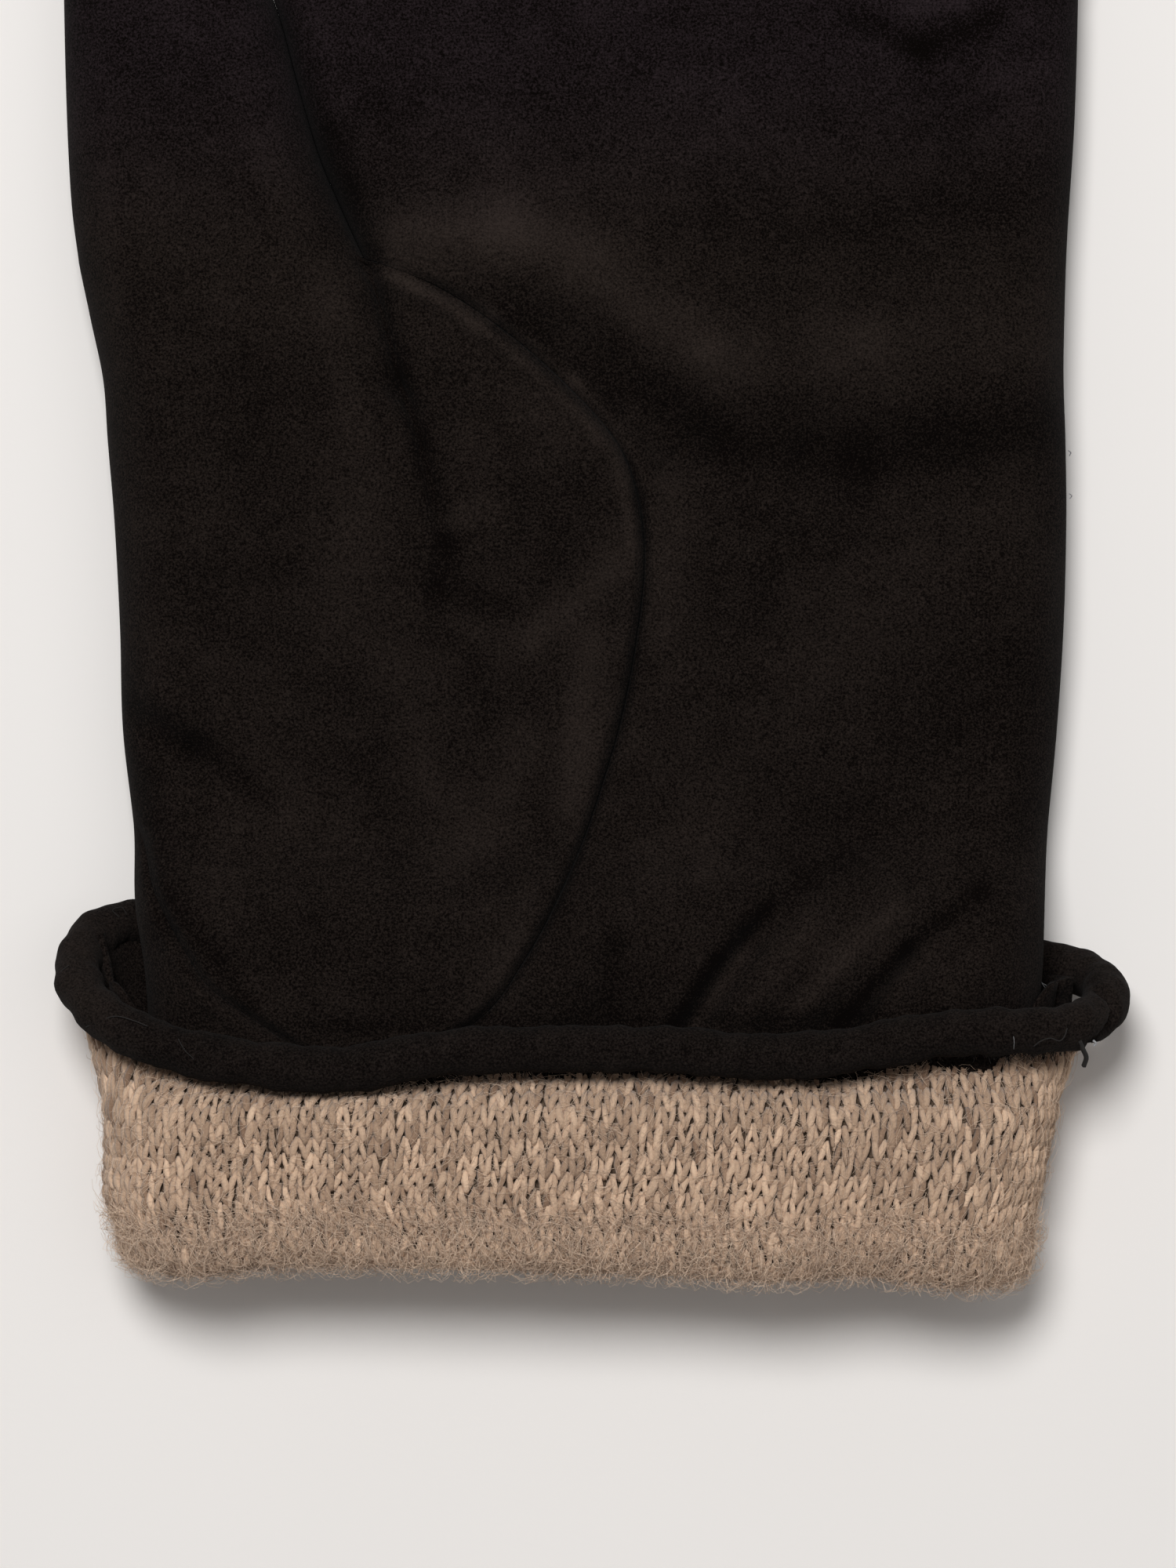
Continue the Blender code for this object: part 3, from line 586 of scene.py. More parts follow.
def build_leather(suede):
    # the palm: from its seam with the thumb piece to its right side, and the corner on the left
    palm = Patches()
    low = np.linspace(MOUTH, POINT, 12)
    ys = np.concatenate([np.linspace(POINT, CROTCH, 150), np.linspace(CROTCH + 0.4, ROOT, 54)])
    edge = np.where(ys <= CROTCH, read(PALM_SEAM, 1, ys), index_edge(ys))
    palm.add(walled(rows_of(upper, edge, right_edge(ys), ys, 108, 0.35), 0))
    palm.add(rows_of(upper, left_edge(low), right_edge(low), low, 60, 0.2))
    ys = np.linspace(POINT, SIDE_SEAM_END, 50)
    edge = np.maximum(read(SIDE_SEAM, 1, ys), left_edge(ys) + 0.01)
    palm.add(rows_of(upper, left_edge(ys), edge, ys, 34, 0.2))
    for i in range(len(FINGERS)):
        palm.add(finger_rows(i, True))
    palm = palm.make("palm_suede", suede)
    give_wall(palm)
    brush(palm)

    thumb = Patches()
    ys = np.linspace(POINT + 0.1, CROTCH, 150)
    left = np.where(ys < SIDE_SEAM_END, np.maximum(read(SIDE_SEAM, 1, ys), left_edge(ys)), left_edge(ys))
    gusset = rows_of(upper, left, np.maximum(read(PALM_SEAM, 1, ys), left + 0.05), ys, 92, 0.35)
    ys = mix(CROTCH + 0.4, 74.0, 1 - (1 - np.linspace(0, 1, 80)) ** 1.3)
    thumb.add(walled(np.concatenate([gusset, thumb_rows(ys, True, 92)]), -1))
    thumb.add(thumb_rows(np.concatenate([[CROTCH], ys]), False, 60), flip=True)
    thumb = thumb.make("thumb_suede", suede)
    give_wall(thumb)
    brush(thumb)

    back = Patches()
    ys = np.linspace(MOUTH, CROTCH, 90)
    back.add(rows_of(lower, left_edge(ys), right_edge(ys), ys, 84, 0.4), flip=True)
    ys = np.linspace(CROTCH + 0.1, ROOT, 36)
    back.add(rows_of(lower, index_edge(ys), right_edge(ys), ys, 84, 0.4), flip=True)
    for i in range(len(FINGERS)):
        back.add(finger_rows(i, False), flip=True)
    back = back.make("back_suede", suede)
    give_wall(back)
    brush(back)
    return palm, thumb, back


# The turned-back cuff

# Y, left edge and right edge of the knitted band
BAND = np.array([
    (-92.5, -47.3, 45.6), (-90.4, -48.0, 46.0), (-88.3, -49.2, 46.6), (-84.2, -50.8, 47.2),
    (-81.7, -50.9, 47.9), (-77.5, -50.8, 48.7), (-73.3, -51.2, 49.8), (-70.0, -52.6, 51.4),
    (-67.5, -53.2, 52.3), (-63.0, -54.0, 53.2), (-56.0, -54.6, 53.8),
])
# X, Y of the fold at the photo's bottom
FOLD_LINE = np.array([
    (-52.0, -89.8), (-47.5, -90.6), (-44.0, -91.2), (-35.0, -90.2), (-20.0, -90.1), (-4.0, -90.5),
    (10.0, -91.0), (21.0, -91.6), (29.0, -91.0), (36.0, -91.8), (42.0, -92.4), (47.0, -91.8),
])
# X, Y of the hem's middle on the palm side
HEM_FRONT = np.array([
    (-56.0, -67.2), (-50.0, -68.0), (-42.6, -69.0), (-36.0, -69.9), (-29.5, -70.4), (-18.6, -69.5),
    (-5.0, -68.6), (9.5, -68.7), (17.2, -69.2), (24.5, -69.0), (37.0, -67.4), (48.0, -67.0), (56.0, -67.0),
])
# The turn's radius, the Y where it starts, the fold's middle, and how much the band narrows round it
TURN = 3.25
TURN_Y = -87.6
FOLD_Y = -90.9
NARROWING = 0.028
# The band's outer face above the leather, how deep it dips under the hem, and its girth
BAND_OUT = 3.1
DIP = 5.0
GIRTH_HALF = 112.0
# The knit's columns and rows of stitches
WALES, COURSES = 70, 21
BACK_WALES, BACK_COURSES = 66, 24


def beside(x):
    """0 across the band's middle and 1 at its sides, where it hangs higher from the hem."""
    return smooth((np.abs(x + 0.5) - 44) / 6)


def band_section(y, front, offset, columns, hung=0.0):
    """The band's section at y from its left side to its right, offset from its outer face.

    hung is the share of the dip under the hem that is missing at the sides.
    """
    t = (1 - np.cos(np.linspace(0, math.pi, 420))) / 2
    left, right = float(read(BAND, 1, y)) - offset, float(read(BAND, 2, y)) + offset
    x = mix(left, right, t)
    half = float(read(BODY, 3, y)) / 2
    across = np.clip((2 * x - left - right) / (right - left), -1, 1)
    dome = float(read(BODY, 4, y)) * (1 - across**2) ** 1.5 if front else 0.0
    radius = half + BAND_OUT + offset
    rise = radius + dome
    kept = rounded(x - left, radius) * rounded(right - x, radius)
    puff = 0.35 * waves(x, np.full_like(x, y), 14, 8) if front else 0.0
    side = float(side_height(y)) if front else half + STACK
    z = side + (rise + puff) * kept * (1 if front else -1)
    dip = DIP * (1 - float(smooth((-67.0 - y) / 9.0))) * (1 - hung * beside(x)) if front else 0.0
    z = z - dip * np.clip((z - side) / 6, 0, 1)
    run = np.concatenate([[0], np.cumsum(np.hypot(np.diff(x), np.diff(z)))])
    want = np.linspace(0, 1, columns) * run[-1]
    return np.interp(want, run, x), np.interp(want, run, z)


class BandMap:
    """The knit's surface: u runs across from the left side, v from the hem round the fold."""

    def __init__(self, front, offset=0.0, rows=90, columns=240, inside=7.0):
        self.front = front
        start = -67.0 if front else -66.0
        points = np.empty((rows, columns, 3))
        length = (start + 87.4) + math.pi * TURN + inside
        self.length = length
        x0, z0 = band_section(TURN_Y, front, offset, columns)
        across = side_share(z0) * (1 if front else -1)
        fold = read(FOLD_LINE, 1, x0) - FOLD_Y
        top = read(HEM_FRONT, 1, x0) - start if front else np.zeros_like(x0)
        for n, s in enumerate(np.linspace(0, length, rows)):
            flat_end = start - TURN_Y
            if s <= flat_end:
                y = start - s
                x, z = band_section(y, front, offset, columns)
                yy = y + fold * smooth((-70 - y) / 17) + top * (1 - smooth((start - y) / 8))
                yy = yy + (5.0 if front else 4.0) * beside(x0) * (1 - smooth((start - y) / 10))
            elif s <= flat_end + math.pi * TURN:
                angle = (s - flat_end) / TURN
                x = x0 * (1 - NARROWING * (1 - math.cos(angle)))
                yy = TURN_Y - (TURN + offset) * math.sin(angle) + fold
                z = z0 - (TURN + offset) * (1 - math.cos(angle)) * across
            else:
                x = x0 * (1 - 2 * NARROWING)
                yy = TURN_Y + (s - flat_end - math.pi * TURN) + fold
                z = z0 - 2 * (TURN + offset) * across
            points[n] = np.stack([x, yy, z], -1)
        self.points = points
        du = np.gradient(points, axis=1)
        dv = np.gradient(points, axis=0)
        normal = np.cross(dv, du) if front else np.cross(du, dv)
        self.normals = normal / np.maximum(np.linalg.norm(normal, axis=-1, keepdims=True), 1e-9)

    def at(self, u, v, n):
        """Points on the surface, lifted by n along its normal. u and v run from 0 to 1."""
        rows, columns = self.points.shape[:2]
        a = np.clip(v, 0, 1) * (rows - 1.001)
        b = np.clip(u, 0, 1) * (columns - 1.001)
        i, j = a.astype(int), b.astype(int)
        f, g = (a - i)[..., None], (b - j)[..., None]

        def blend(grid):
            low = grid[i, j] * (1 - g) + grid[i, j + 1] * g
            high = grid[i + 1, j] * (1 - g) + grid[i + 1, j + 1] * g
            return low * (1 - f) + high * f

        return blend(self.points) + blend(self.normals) * n[..., None]


def side_share(z):
    """How far the fold's turn runs up and down: 0 at the band's sides and 1 across its middle."""
    height = np.abs(z - (z[0] + z[-1]) / 2)
    return np.clip(height / (height.max() * 0.8), 0, 1)


def tubes(paths, radii, sides):
    """Closed tubes round many paths at once. paths: tubes, points, 3. Returns points and faces."""
    count, steps = paths.shape[:2]
    paths = np.concatenate([paths[..., :2], np.maximum(paths[..., 2:], radii[..., None] + 0.02)], -1)
    ahead = np.gradient(paths, axis=1)
    ahead /= np.maximum(np.linalg.norm(ahead, axis=-1, keepdims=True), 1e-9)
    up = np.zeros_like(ahead)
    up[..., 2] = 1
    side = np.cross(ahead, up)
    small = np.linalg.norm(side, axis=-1, keepdims=True) < 0.05
    side = np.where(small, np.cross(ahead, np.array([1.0, 0, 0])), side)
    side /= np.linalg.norm(side, axis=-1, keepdims=True)
    other = np.cross(side, ahead)
    angle = np.arange(sides) / sides * 2 * math.pi
    ring = (side[:, :, None] * np.cos(angle)[:, None] + other[:, :, None] * np.sin(angle)[:, None])
    points = paths[:, :, None] + ring * radii[:, :, None, None]
    base = np.arange(count) * steps * sides
    quads = grid_faces(steps, sides, 0, wrap=True)
    quads = (quads[None] + base[:, None, None]).reshape(-1, 4)
    first = base[:, None] + np.arange(sides)[None, ::-1]
    last = base[:, None] + (steps - 1) * sides + np.arange(sides)[None]
    return points.reshape(-1, 3), quads, np.concatenate([first, last])


def stitches(name, band, wales, courses, material, steps=6, sides=5, seed=1):
    """The knit's yarn: two slanted legs to a stitch, in courses that overlap."""
    r = np.random.default_rng(seed)
    i, j, leg = np.meshgrid(np.arange(wales), np.arange(courses), (-1, 1), indexing="ij")
    i, j, leg = i.ravel(), j.ravel(), leg.ravel()
    count = len(i)
    t = np.linspace(0, 1, steps)[None]
    w, h = 1 / wales, 1 / courses
    drift = 0.05 * np.sin(j * 0.9 + i * 0.35) + 0.035 * r.standard_normal(count)
    grow = 1 + 0.13 * r.standard_normal(count)
    cx = (i + 0.5 + drift)[:, None] * w
    cy = (j + 0.5)[:, None] * h + (0.04 * r.standard_normal(count) * h)[:, None]
    spread = mix(0.12, 0.41, smooth(t)) + 0.03 * r.standard_normal((count, 1))
    u = cx + leg[:, None] * spread * w
    v = cy + (t - 0.5) * 1.42 * h * (1 + 0.06 * r.standard_normal((count, 1)))
    lift = 0.10 + 0.34 * np.sin(math.pi * np.clip(t * 0.94 + 0.03, 0, 1)) ** 0.8
    lift = lift + 0.08 * r.standard_normal((count, 1))
    u = u + 0.035 * w * r.standard_normal(u.shape)
    v = v + 0.035 * h * r.standard_normal(v.shape)
    path = band.at(u, v, lift * np.ones_like(u))
    thick = 0.41 * (0.50 + 0.50 * np.sin(math.pi * np.clip(t, 0.04, 0.96)) ** 0.7) * grow[:, None]
    points, quads, caps = tubes(path, thick, sides)
    made = piece(name, points, quads, caps, material)
    # painted shadow: the front yarn is darkened under the hem, where the hem shades it, and painted lighter
    # towards the fold to lift the fold's shade
    down = j / courses
    tone = 0.5 + 0.22 * r.standard_normal(count) - 0.75 * np.exp(-((down / 0.07) ** 2)) * band.front
    tone += 0.14 * smooth((down - 0.42) / 0.2) * band.front
    store(made, "tone", np.repeat(np.clip(tone, -0.2, 1.1), steps * sides))
    return made


def fibres(name, band, count, material, seed, low=0.0, high=1.0, length=(1.2, 3.6), width=0.05, rise=0.9):
    """Loose fibres that stand off the yarn."""
    r = np.random.default_rng(seed)
    u = r.uniform(0.004, 0.996, count)[:, None]
    v = r.uniform(low, high, count)[:, None]
    steps = 4
    t = np.linspace(0, 1, steps)[None]
    size = r.uniform(*length, count)[:, None]
    heading = r.uniform(0, 2 * math.pi, count)[:, None]
    curl = r.normal(0, 1.5, count)[:, None]
    angle = heading + curl * t
    step = size / (steps - 1)
    x = np.cumsum(np.cos(angle) * step, 1) - np.cos(angle) * step
    y = np.cumsum(np.sin(angle) * step, 1) - np.sin(angle) * step
    arch = np.sin(t * math.pi * r.uniform(0.4, 1.0, count)[:, None])
    n = r.uniform(0.62, 0.90, count)[:, None] + rise * r.uniform(0.05, 1.0, count)[:, None] ** 2 * arch
    path = band.at(u + x / GIRTH_HALF, v + y / band.length, n)
    radii = np.full((count, steps), width / 2) * (1 - 0.6 * t)
    points, quads, caps = tubes(path, radii, 3)
    made = piece(name, points, quads, caps, material)
    store(made, "tone", np.repeat(r.uniform(0.3, 1.0, count), steps * 3))
    return made


def band_base(name, material):
    """The knit's ground: one closed sleeve over the band, round the fold and into the mouth."""
    layers = []
    for offset in (-0.1, -1.3):
        front = BandMap(True, offset, 52, 110, 12.0).points
        back = BandMap(False, offset, 52, 110, 12.0).points
        layers.append(np.concatenate([front, back[:, ::-1]], axis=1))
    ring = np.concatenate([layers[0], layers[1][::-1]], axis=0)
    patches = Patches()
    patches.add(np.concatenate([ring, ring[:1]], axis=0), flip=False, wrap=True)
    return patches.make(name, material, 0.01)


def turnback_sleeve(name, material):
    """The suede of the turned-back band, between the wrist and the lining."""
    layers = []
    for offset in (-2.0, -2.9):
        halves = []
        for front in (True, False):
            rows = []
            for y in np.linspace(-68.0 if front else -56.0, -86.5, 30):
                near = 1 - float(smooth((-68 - y) / 4))
                x, z = band_section(float(y), front, offset, 80, 0.85 * near)
                shift = 7 * beside(x) * near if front else -0.045 * (x + 50) * float(smooth((y + 80) / 24))
                rows.append(np.stack([x, np.full_like(x, y) + shift, z], -1))
            halves.append(np.array(rows))
        layers.append(np.concatenate([halves[0], halves[1][:, ::-1]], axis=1))
    ring = np.concatenate([layers[0], layers[1][::-1]], axis=0)
    patches = Patches()
    patches.add(np.concatenate([ring, ring[:1]], axis=0), wrap=True)
    return patches.make(name, material, 0.01)


# The middle of the rolled hem: X, Y, height above the table. It starts at the left.
HEM_PATH = np.array([
    (-54.2, -60.6, 12.5), (-52.4, -63.4, 15.6), (-48.8, -65.9, 18.0), (-42.6, -68.1, 19.9),
    (-36.0, -69.2, 20.9), (-29.5, -69.9, 21.4), (-24.0, -69.8, 21.5), (-18.6, -68.7, 21.5),
    (-12.5, -68.0, 21.6), (-5.0, -67.8, 21.7), (2.5, -67.8, 21.7), (9.5, -67.9, 21.7),
    (17.2, -68.6, 21.6), (24.5, -68.3, 21.5), (31.0, -67.3, 21.3), (37.0, -66.3, 21.0),
    (42.8, -66.0, 20.4), (48.0, -65.9, 19.3), (52.0, -65.4, 17.2), (54.6, -63.9, 13.6),
    (55.2, -62.0, 9.6), (54.2, -60.8, 6.2), (51.6, -59.8, 3.7), (47.5, -59.2, 2.6),
    (38.0, -58.8, 2.4), (24.0, -58.2, 2.4), (8.0, -57.7, 2.4), (-8.0, -57.3, 2.4),
    (-24.0, -56.8, 2.4), (-38.0, -56.0, 2.4), (-45.5, -55.2, 2.6), (-49.6, -54.9, 3.6),
    (-52.4, -55.9, 5.8), (-54.0, -57.9, 9.0),
])


def closed_curve(points, count):
    """A smooth closed curve through points, evenly spaced."""
    n = len(points)
    fine = []
    for i in range(n):
        p0, p1, p2, p3 = (points[(i + k) % n] for k in (-1, 0, 1, 2))
        t = np.linspace(0, 1, 24, endpoint=False)[:, None]
        fine.append(0.5 * (2 * p1 + (p2 - p0) * t + (2 * p0 - 5 * p1 + 4 * p2 - p3) * t**2
                           + (3 * p1 - p0 - 3 * p2 + p3) * t**3))
    fine = np.concatenate(fine)
    loop = np.concatenate([fine, fine[:1]])
    run = np.concatenate([[0], np.cumsum(np.linalg.norm(np.diff(loop, axis=0), axis=1))])
    want = np.linspace(0, run[-1], count, endpoint=False)
    return np.stack([np.interp(want, run, loop[:, k]) for k in range(3)], -1)


def rolled_hem(name, material):
    """The hem: leather rolled into a cord, lumpy where it is stitched."""
    count, sides = 620, 32
    path = closed_curve(HEM_PATH, count)
    ahead = np.roll(path, -1, 0) - np.roll(path, 1, 0)
    ahead /= np.linalg.norm(ahead, axis=1, keepdims=True)
    centre = path.mean(0) * np.array([1, 1, 0]) + np.array([0, 0, 10.0])
    out = path - centre
    out[:, 1] *= 0.2
    out -= (out * ahead).sum(1, keepdims=True) * ahead
    out /= np.linalg.norm(out, axis=1, keepdims=True)
    side = np.cross(ahead, out)
    angle = np.arange(sides) / sides * 2 * math.pi
    along = np.arange(count)[:, None] / count * 2 * math.pi
    ripple = 0.035 * np.sin(along * 41 + 2 * np.sin(along * 7)) + 0.03 * np.sin(along * 23 + angle * 2 + 1)
    ripple = ripple + 0.02 * np.sin(along * 97 + angle * 3) + 0.02 * np.sin(along * 61 - angle * 2)
    radius = 2.45 * (1 + ripple)
    spoke = out[:, None] * np.cos(angle)[:, None] + side[:, None] * np.sin(angle)[:, None]
    points = path[:, None] + spoke * radius[..., None]
    # the joint at the right: the front roll's end is tucked under the rest
    far = np.full(points.shape[:2], 1e9)
    for (x0, y0), (x1, y1) in zip(JOINT[:-1], JOINT[1:]):
        far = np.minimum(far, line_distance(points[..., 0], points[..., 1], x0, y0, x1, y1)[0])
    seen = smooth((points[..., 2] - path[:, None, 2] + 1.2) / 1.6)
    inward = path[:, None] - points
    inward /= np.linalg.norm(inward, axis=-1, keepdims=True)
    points += inward * (1.1 * np.exp(-((far / 0.42) ** 2)) * seen)[..., None]
    lobe = np.hypot(points[..., 0] - 52.4, points[..., 1] + 65.4)
    points -= inward * (0.35 * np.exp(-((lobe / 2.2) ** 2)) * seen)[..., None]
    points[..., 2] = np.maximum(points[..., 2], 0.02)
    patches = Patches()
    patches.add(np.concatenate([points, points[:1]]), wrap=True)
    made = patches.make(name, material, 0.001)
    x, y = places(made)[:2]
    # the hem's tone is lighter towards both of its ends, with random unevenness
    store(made, "nap", 0.5 * smooth((-46 - x) / 7) + 0.35 * smooth((x - 44) / 8) + 0.12 * waves(x, y, 4, 41))
    return made, path, out, side


# X, Y of the crease at the hem's joint
JOINT = ((54.0, -61.6), (55.3, -62.6), (55.9, -63.9), (55.3, -65.4), (54.2, -66.6), (52.8, -67.6))


def hem_fray(name, path, out, side, material):
    """Fibres along the hem's cut edge, most at its joint."""
    r = np.random.default_rng(21)
    count = 900
    front = np.flatnonzero((path[:, 2] > 12) & (path[:, 1] < -62))
    x = path[front, 0]
    odds = 0.35 + 2.2 * smooth((x - 38) / 8) + 0.8 * smooth((-44 - x) / 6)
    pick = r.choice(front, count, p=odds / odds.sum())
    angle = r.normal(math.radians(205), 0.55, count)
    start = path[pick] + (out[pick] * np.cos(angle)[:, None] + side[pick] * np.sin(angle)[:, None]) * HEM_R
    below = np.array([0.0, -1.0, -0.5]) + r.normal(0, 0.55, (count, 3))
    below[:, 1] = -np.abs(below[:, 1])
    below /= np.linalg.norm(below, axis=1, keepdims=True)
    t = np.linspace(0, 1, 4)[None, :, None]
    bend = r.normal(0, 0.5, (count, 1, 3))
    size = r.uniform(0.3, 1.25, (count, 1, 1))
    start[:, 1] = path[pick, 1] - 2.1
    start[:, 2] = path[pick, 2] - 0.9 + r.normal(0, 0.4, count)
    paths = start[:, None] + size * (below[:, None] * t + bend * t**2 * 0.5)
    points, quads, caps = tubes(paths, np.full((count, 4), 0.035), 3)
    return piece(name, points, quads, caps, material)


def strand(points, radius, count=26):
    """A loose strand through points, as one closed tube."""
    points = np.array(points, float)
    run = np.concatenate([[0], np.cumsum(np.linalg.norm(np.diff(points, axis=0), axis=1))])
    rows = np.column_stack([run, points])
    at = np.linspace(0, run[-1], count)
    path = np.stack([read(rows, k, at) for k in (1, 2, 3)], -1)
    return tubes(path[None], np.full((1, count), radius), 5)


def strands(name, rows, material):
    points, faces, ends, first = [], [], [], 0
    for radius, *line in rows:
        p, quads, caps = strand(line, radius)
        points.append(p)
        faces.append(quads + first)
        ends.append(caps + first)
        first += len(p)
    return piece(name, np.concatenate(points), np.concatenate(faces), np.concatenate(ends), material)


# Loose strands on the glove: radius, then X, Y and height
DARK_STRANDS = (
    (0.28, (51.6, -66.9, 20.0), (52.2, -68.0, 18.2), (52.6, -68.9, 17.0), (52.4, -69.8, 16.2)),
    (0.06, (46.7, -67.5, 22.0), (47.4, -66.9, 22.6), (48.4, -66.6, 22.8), (49.4, -66.9, 22.4),
     (49.9, -66.4, 22.4), (50.2, -65.6, 22.0)),
    (0.06, (-52.9, -65.6, 18.0), (-51.6, -65.0, 18.9), (-49.6, -64.4, 20.1), (-47.8, -64.8, 20.8),
     (-46.2, -65.4, 21.3)),
    (0.05, (-42.9, -66.7, 22.4), (-42.2, -67.9, 22.6), (-41.2, -68.9, 22.5), (-40.9, -70.0, 21.7)),
    (0.05, (-55.0, -59.2, 14.6), (-55.8, -59.9, 14.4), (-55.3, -60.7, 14.8), (-54.6, -60.0, 15.2)),
    (0.05, (-50.2, -54.3, 6.8), (-50.9, -53.5, 7.0), (-49.9, -53.2, 7.2), (-49.4, -54.0, 6.9)),
)
PALE_STRANDS = (
    (0.22, (50.1, -62.4, 7.3), (50.4, -62.8, 7.5), (50.3, -63.1, 7.5)),
    (0.03, (50.2, -62.4, 7.4), (49.4, -61.8, 7.8), (48.6, -61.3, 8.2), (47.9, -61.0, 8.4)),
    (0.03, (50.1, -62.6, 7.6), (49.3, -62.2, 8.4), (48.7, -61.6, 8.8), (48.3, -60.9, 8.9)),
    (0.03, (50.0, -62.8, 7.6), (49.0, -62.7, 8.2), (48.2, -62.4, 8.6)),
    (0.12, (44.2, -63.9, 18.2), (44.4, -64.0, 18.3), (44.5, -63.8, 18.3)),
    (0.018, (44.3, -64.0, 18.3), (44.4, -65.4, 21.6), (44.6, -66.8, 22.7), (44.6, -67.8, 22.2)),
    (0.13, (53.2, -67.0, 18.6), (53.5, -67.3, 18.4), (53.3, -67.6, 18.2)),
    (0.06, (51.0, -4.6, 13.0), (51.3, -4.8, 12.4), (51.2, -5.1, 12.0)),
    (0.06, (51.1, -9.2, 13.0), (51.4, -9.4, 12.4), (51.2, -9.7, 12.2)),
)


# The camera, the lights and the finishes

# What the picture's height takes in, the lens, and the point that the camera hangs over
VIEW_TALL = 166.7
LENS, SENSOR = 150, 36
LOOKED_AT = (0, -40, 12)


def place_camera():
    cam = bpy.data.objects.new("camera", bpy.data.cameras.new("camera"))
    bpy.context.scene.collection.objects.link(cam)
    cam.data.lens = LENS
    cam.data.sensor_width = SENSOR
    x, y, z = LOOKED_AT
    cam.location = (x * MM, y * MM, (VIEW_TALL * LENS / SENSOR + z) * MM)
    cam.rotation_euler = (0, 0, 0)
    cam.data.clip_start = 0.01
    bpy.context.scene.camera = cam


def light(name, location, size, power, target=(0, -40, 0)):
    data = bpy.data.lights.new(name, "AREA")
    data.shape = "DISK"
    data.size = size
    data.energy = power
    lamp = bpy.data.objects.new(name, data)
    lamp.location = location
    aim = Vector([v * MM for v in target]) - Vector(location)
    lamp.rotation_euler = aim.to_track_quat("-Z", "Y").to_euler()
    bpy.context.scene.collection.objects.link(lamp)


class Wire:
    """A value that varies over a surface. Sums and products of wires add their own nodes."""

    def __init__(self, finish, socket):
        self.finish, self.socket = finish, socket

    def math(self, operation, *terms):
        return self.finish.node("ShaderNodeMath", {"operation": operation}, dict(enumerate(terms)))

    def __add__(self, other):
        return self.math("ADD", self, other)

    def __sub__(self, other):
        return self.math("SUBTRACT", self, other)

    def __rsub__(self, other):
        return self.math("SUBTRACT", other, self)

    def __mul__(self, other):
        return self.math("MULTIPLY", self, other)

    __radd__ = __add__
    __rmul__ = __mul__


class Finish:
    """One material on one Principled shader."""

    def __init__(self, name, **constants):
        self.material = bpy.data.materials.new(name)
        self.material.use_nodes = True
        self.tree = self.material.node_tree
        self.shader = self.tree.nodes["Principled BSDF"]
        for socket, value in constants.items():
            self.shader.inputs[socket.replace("_", " ")].default_value = value

    def node(self, kind, settings=(), values=(), out=0):
        made = self.tree.nodes.new(kind)
        for name, value in dict(settings).items():
            setattr(made, name, value)
        for key, value in dict(values).items():
            self.join(value, made.inputs[key])
        return Wire(self, made.outputs[out])

    def join(self, value, socket):
        if isinstance(value, Wire):
            self.tree.links.new(value.socket, socket)
        else:
            socket.default_value = value

    def stored(self, name):
        return self.node("ShaderNodeAttribute", {"attribute_name": name}, out="Fac")

    def noise(self, scale, detail=3.0, roughness=0.55):
        place = self.node("ShaderNodeTexCoord", out="Object")
        values = {"Vector": place, "Scale": scale, "Detail": detail, "Roughness": roughness}
        return self.node("ShaderNodeTexNoise", {}, values, out="Fac")

    def shades(self, share, dark, light):
        values = {0: share, 6: (*dark, 1), 7: light if isinstance(light, Wire) else (*light, 1)}
        return self.node("ShaderNodeMix", {"data_type": "RGBA", "clamp_factor": True}, values, out=2)

    def wear(self, colour, height, distance, strength):
        """Gives the shader its colour and its bump, and returns the material."""
        self.join(colour, self.shader.inputs["Base Color"])
        values = {"Height": height, "Distance": distance, "Strength": strength}
        self.join(self.node("ShaderNodeBump", {}, values), self.shader.inputs["Normal"])
        return self.material


def suede_finish(name, dark, light):
    """Suede: soft random patches over fine grain, with the painted shade and highlight stored in the nap
    attribute, bluer where it is cool.
    """
    finish = Finish(name, Roughness=0.95, Specular_IOR_Level=0.03, Sheen_Weight=0.012, Sheen_Roughness=0.6)
    patches, nap, grain = finish.noise(70, 3), finish.noise(420, 3, 0.6), finish.noise(4200, 3, 0.7)
    # the stored nap carries painted shade and highlight on top of the nap's random tone
    share = finish.stored("nap") * 0.40 + patches * 0.28 + nap * 0.20 + grain * 2.6 - 1.29
    light = finish.shades(finish.stored("cool"), light, (light[0] * 1.04, light[1], light[2] * 1.38))
    return finish.wear(finish.shades(share, dark, light), nap * 0.5 + grain * 0.35, 0.0004, 0.55)


def yarn_finish(name, dark, light):
    """Woollen yarn: every strand has its own tone, which on the front stitches also carries painted shadow
    under the hem and painted light towards the fold, and its fibres catch the light.
    """
    finish = Finish(name, Roughness=0.95, Specular_IOR_Level=0.15, Sheen_Weight=0.25, Sheen_Roughness=0.5)
    hairs, patches = finish.noise(3800, 3, 0.7), finish.noise(90, 2)
    share = finish.stored("tone") * 0.95 + hairs * 0.7 + patches * 0.6 - 0.62
    return finish.wear(finish.shades(share, dark, light), hairs, 0.0003, 0.7)


def ground_finish(name, dark, light):
    """The knit's inside seen between the stitches: yarn darkened as painted shade for the holes."""
    finish = Finish(name, Roughness=1.0, Specular_IOR_Level=0.05)
    hairs = finish.noise(1500, 4, 0.7)
    return finish.wear(finish.shades(hairs * 2.2 - 0.6, dark, light), hairs, 0.0006, 0.8)


def paper_finish(name, colour):
    finish = Finish(name, Roughness=0.9, Specular_IOR_Level=0.1)
    tooth = finish.noise(900, 4, 0.6)
    darker = tuple(0.985 * c for c in colour)
    return finish.wear(finish.shades(finish.noise(14, 2), darker, colour), tooth, 0.00005, 0.3)


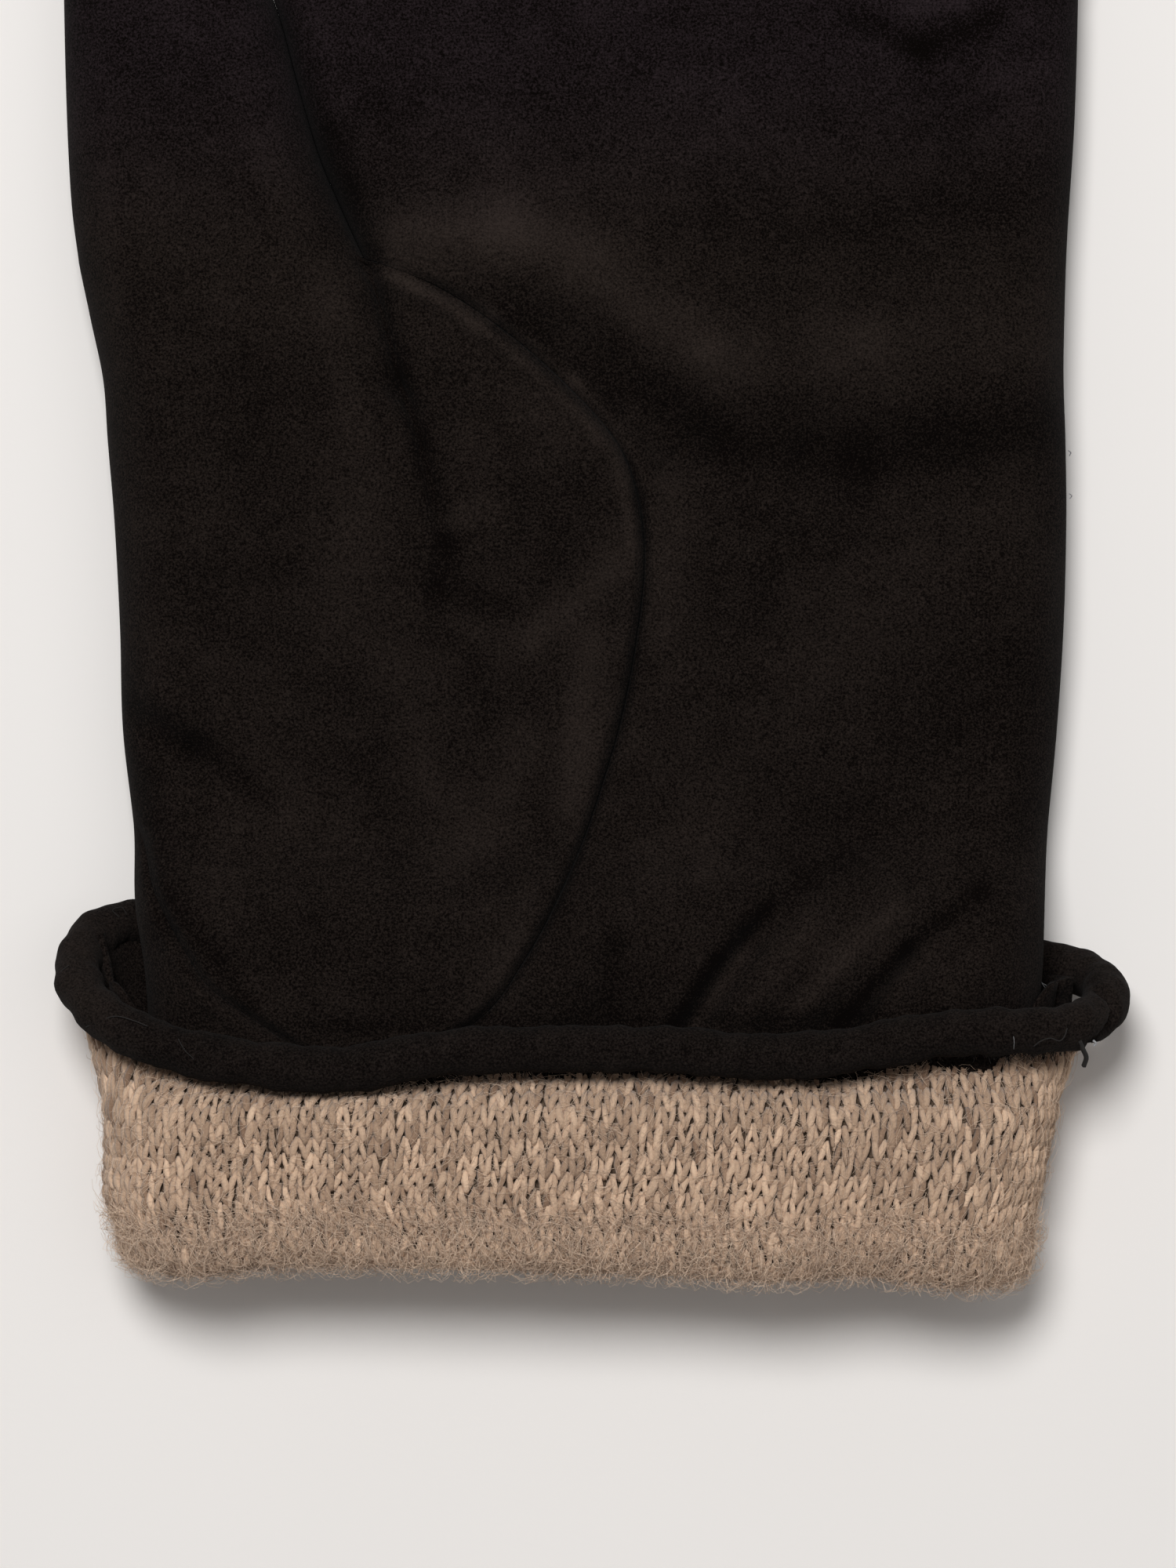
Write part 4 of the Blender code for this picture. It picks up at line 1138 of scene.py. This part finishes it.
# The finishes
suede = suede_finish("black_suede", (0.0018, 0.0010, 0.0008), (0.0260, 0.0190, 0.0158))
hem_leather = suede_finish("hem_suede", (0.0022, 0.0014, 0.0012), (0.0220, 0.0165, 0.0140))
knit = yarn_finish("beige_yarn", (0.24, 0.150, 0.098), (0.78, 0.555, 0.39))
fluff = yarn_finish("beige_fluff", (0.46, 0.31, 0.22), (0.95, 0.73, 0.55))
knit_ground = ground_finish("knit_ground_painted_shade", (0.030, 0.020, 0.014), (0.18, 0.125, 0.088))
pale_lint = Finish("pale_lint", Base_Color=(0.33, 0.33, 0.34, 1), Roughness=1.0).material
dark_lint = Finish("dark_lint", Base_Color=(0.012, 0.010, 0.009, 1), Roughness=1.0).material

# The leather
palm, thumb, back = build_leather(suede)
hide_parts("palm")
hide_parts("thumb")
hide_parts("back")
for made in (palm, thumb, back):
    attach(made, "root")

# The lining, the turned-back suede and the hem
front = BandMap(True)
behind = BandMap(False)
lining = (
    # dark ground under the stitches: painted shade for the holes between them
    band_base("lining_ground", knit_ground),
    stitches("lining_stitches", front, WALES, COURSES, knit),
    stitches("lining_stitches_back", behind, BACK_WALES, BACK_COURSES, knit, 4, 4, 2),
    fibres("lining_fibres", front, 6600, fluff, 5, width=0.05),
    fibres("lining_fibres_fold", front, 8000, fluff, 6, 0.48, 0.76, (1.2, 4.0), 0.06, 1.8),
    fibres("lining_fibres_back", behind, 1800, fluff, 8, width=0.06),
)
for made in lining:
    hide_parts("knit_lining")
    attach(made, "root")
sleeve = turnback_sleeve("turnback_suede", suede)
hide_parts("cuff_turnback")
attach(sleeve, "root")
hem, *course = rolled_hem("hem_suede", hem_leather)
rim = (
    hem,
    hem_fray("hem_fray", *course, dark_lint),
    strands("dark_strands", DARK_STRANDS, dark_lint),
    strands("pale_strands", PALE_STRANDS, pale_lint),
)
for made in rim:
    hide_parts("hem_roll")
    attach(made, "root")

# The floor, the camera and the light
bpy.ops.mesh.primitive_plane_add(size=3, location=(0, 0, -0.0002))
floor = bpy.context.object
floor.name = "floor"
floor.data.materials.append(paper_finish("paper", (0.875, 0.845, 0.82)))
place_camera()
light("window", (-0.14, 0.38, 1.12), 0.42, 11.2)
light("fill", (0.4, 0.1, 1.2), 1.2, 1.8)
world = bpy.data.worlds.new("room")
bpy.context.scene.world = world
world.use_nodes = True
world.node_tree.nodes["Background"].inputs[0].default_value = (1, 0.99, 0.98, 1)
world.node_tree.nodes["Background"].inputs[1].default_value = 0.18
bpy.context.scene.view_settings.view_transform = "Standard"
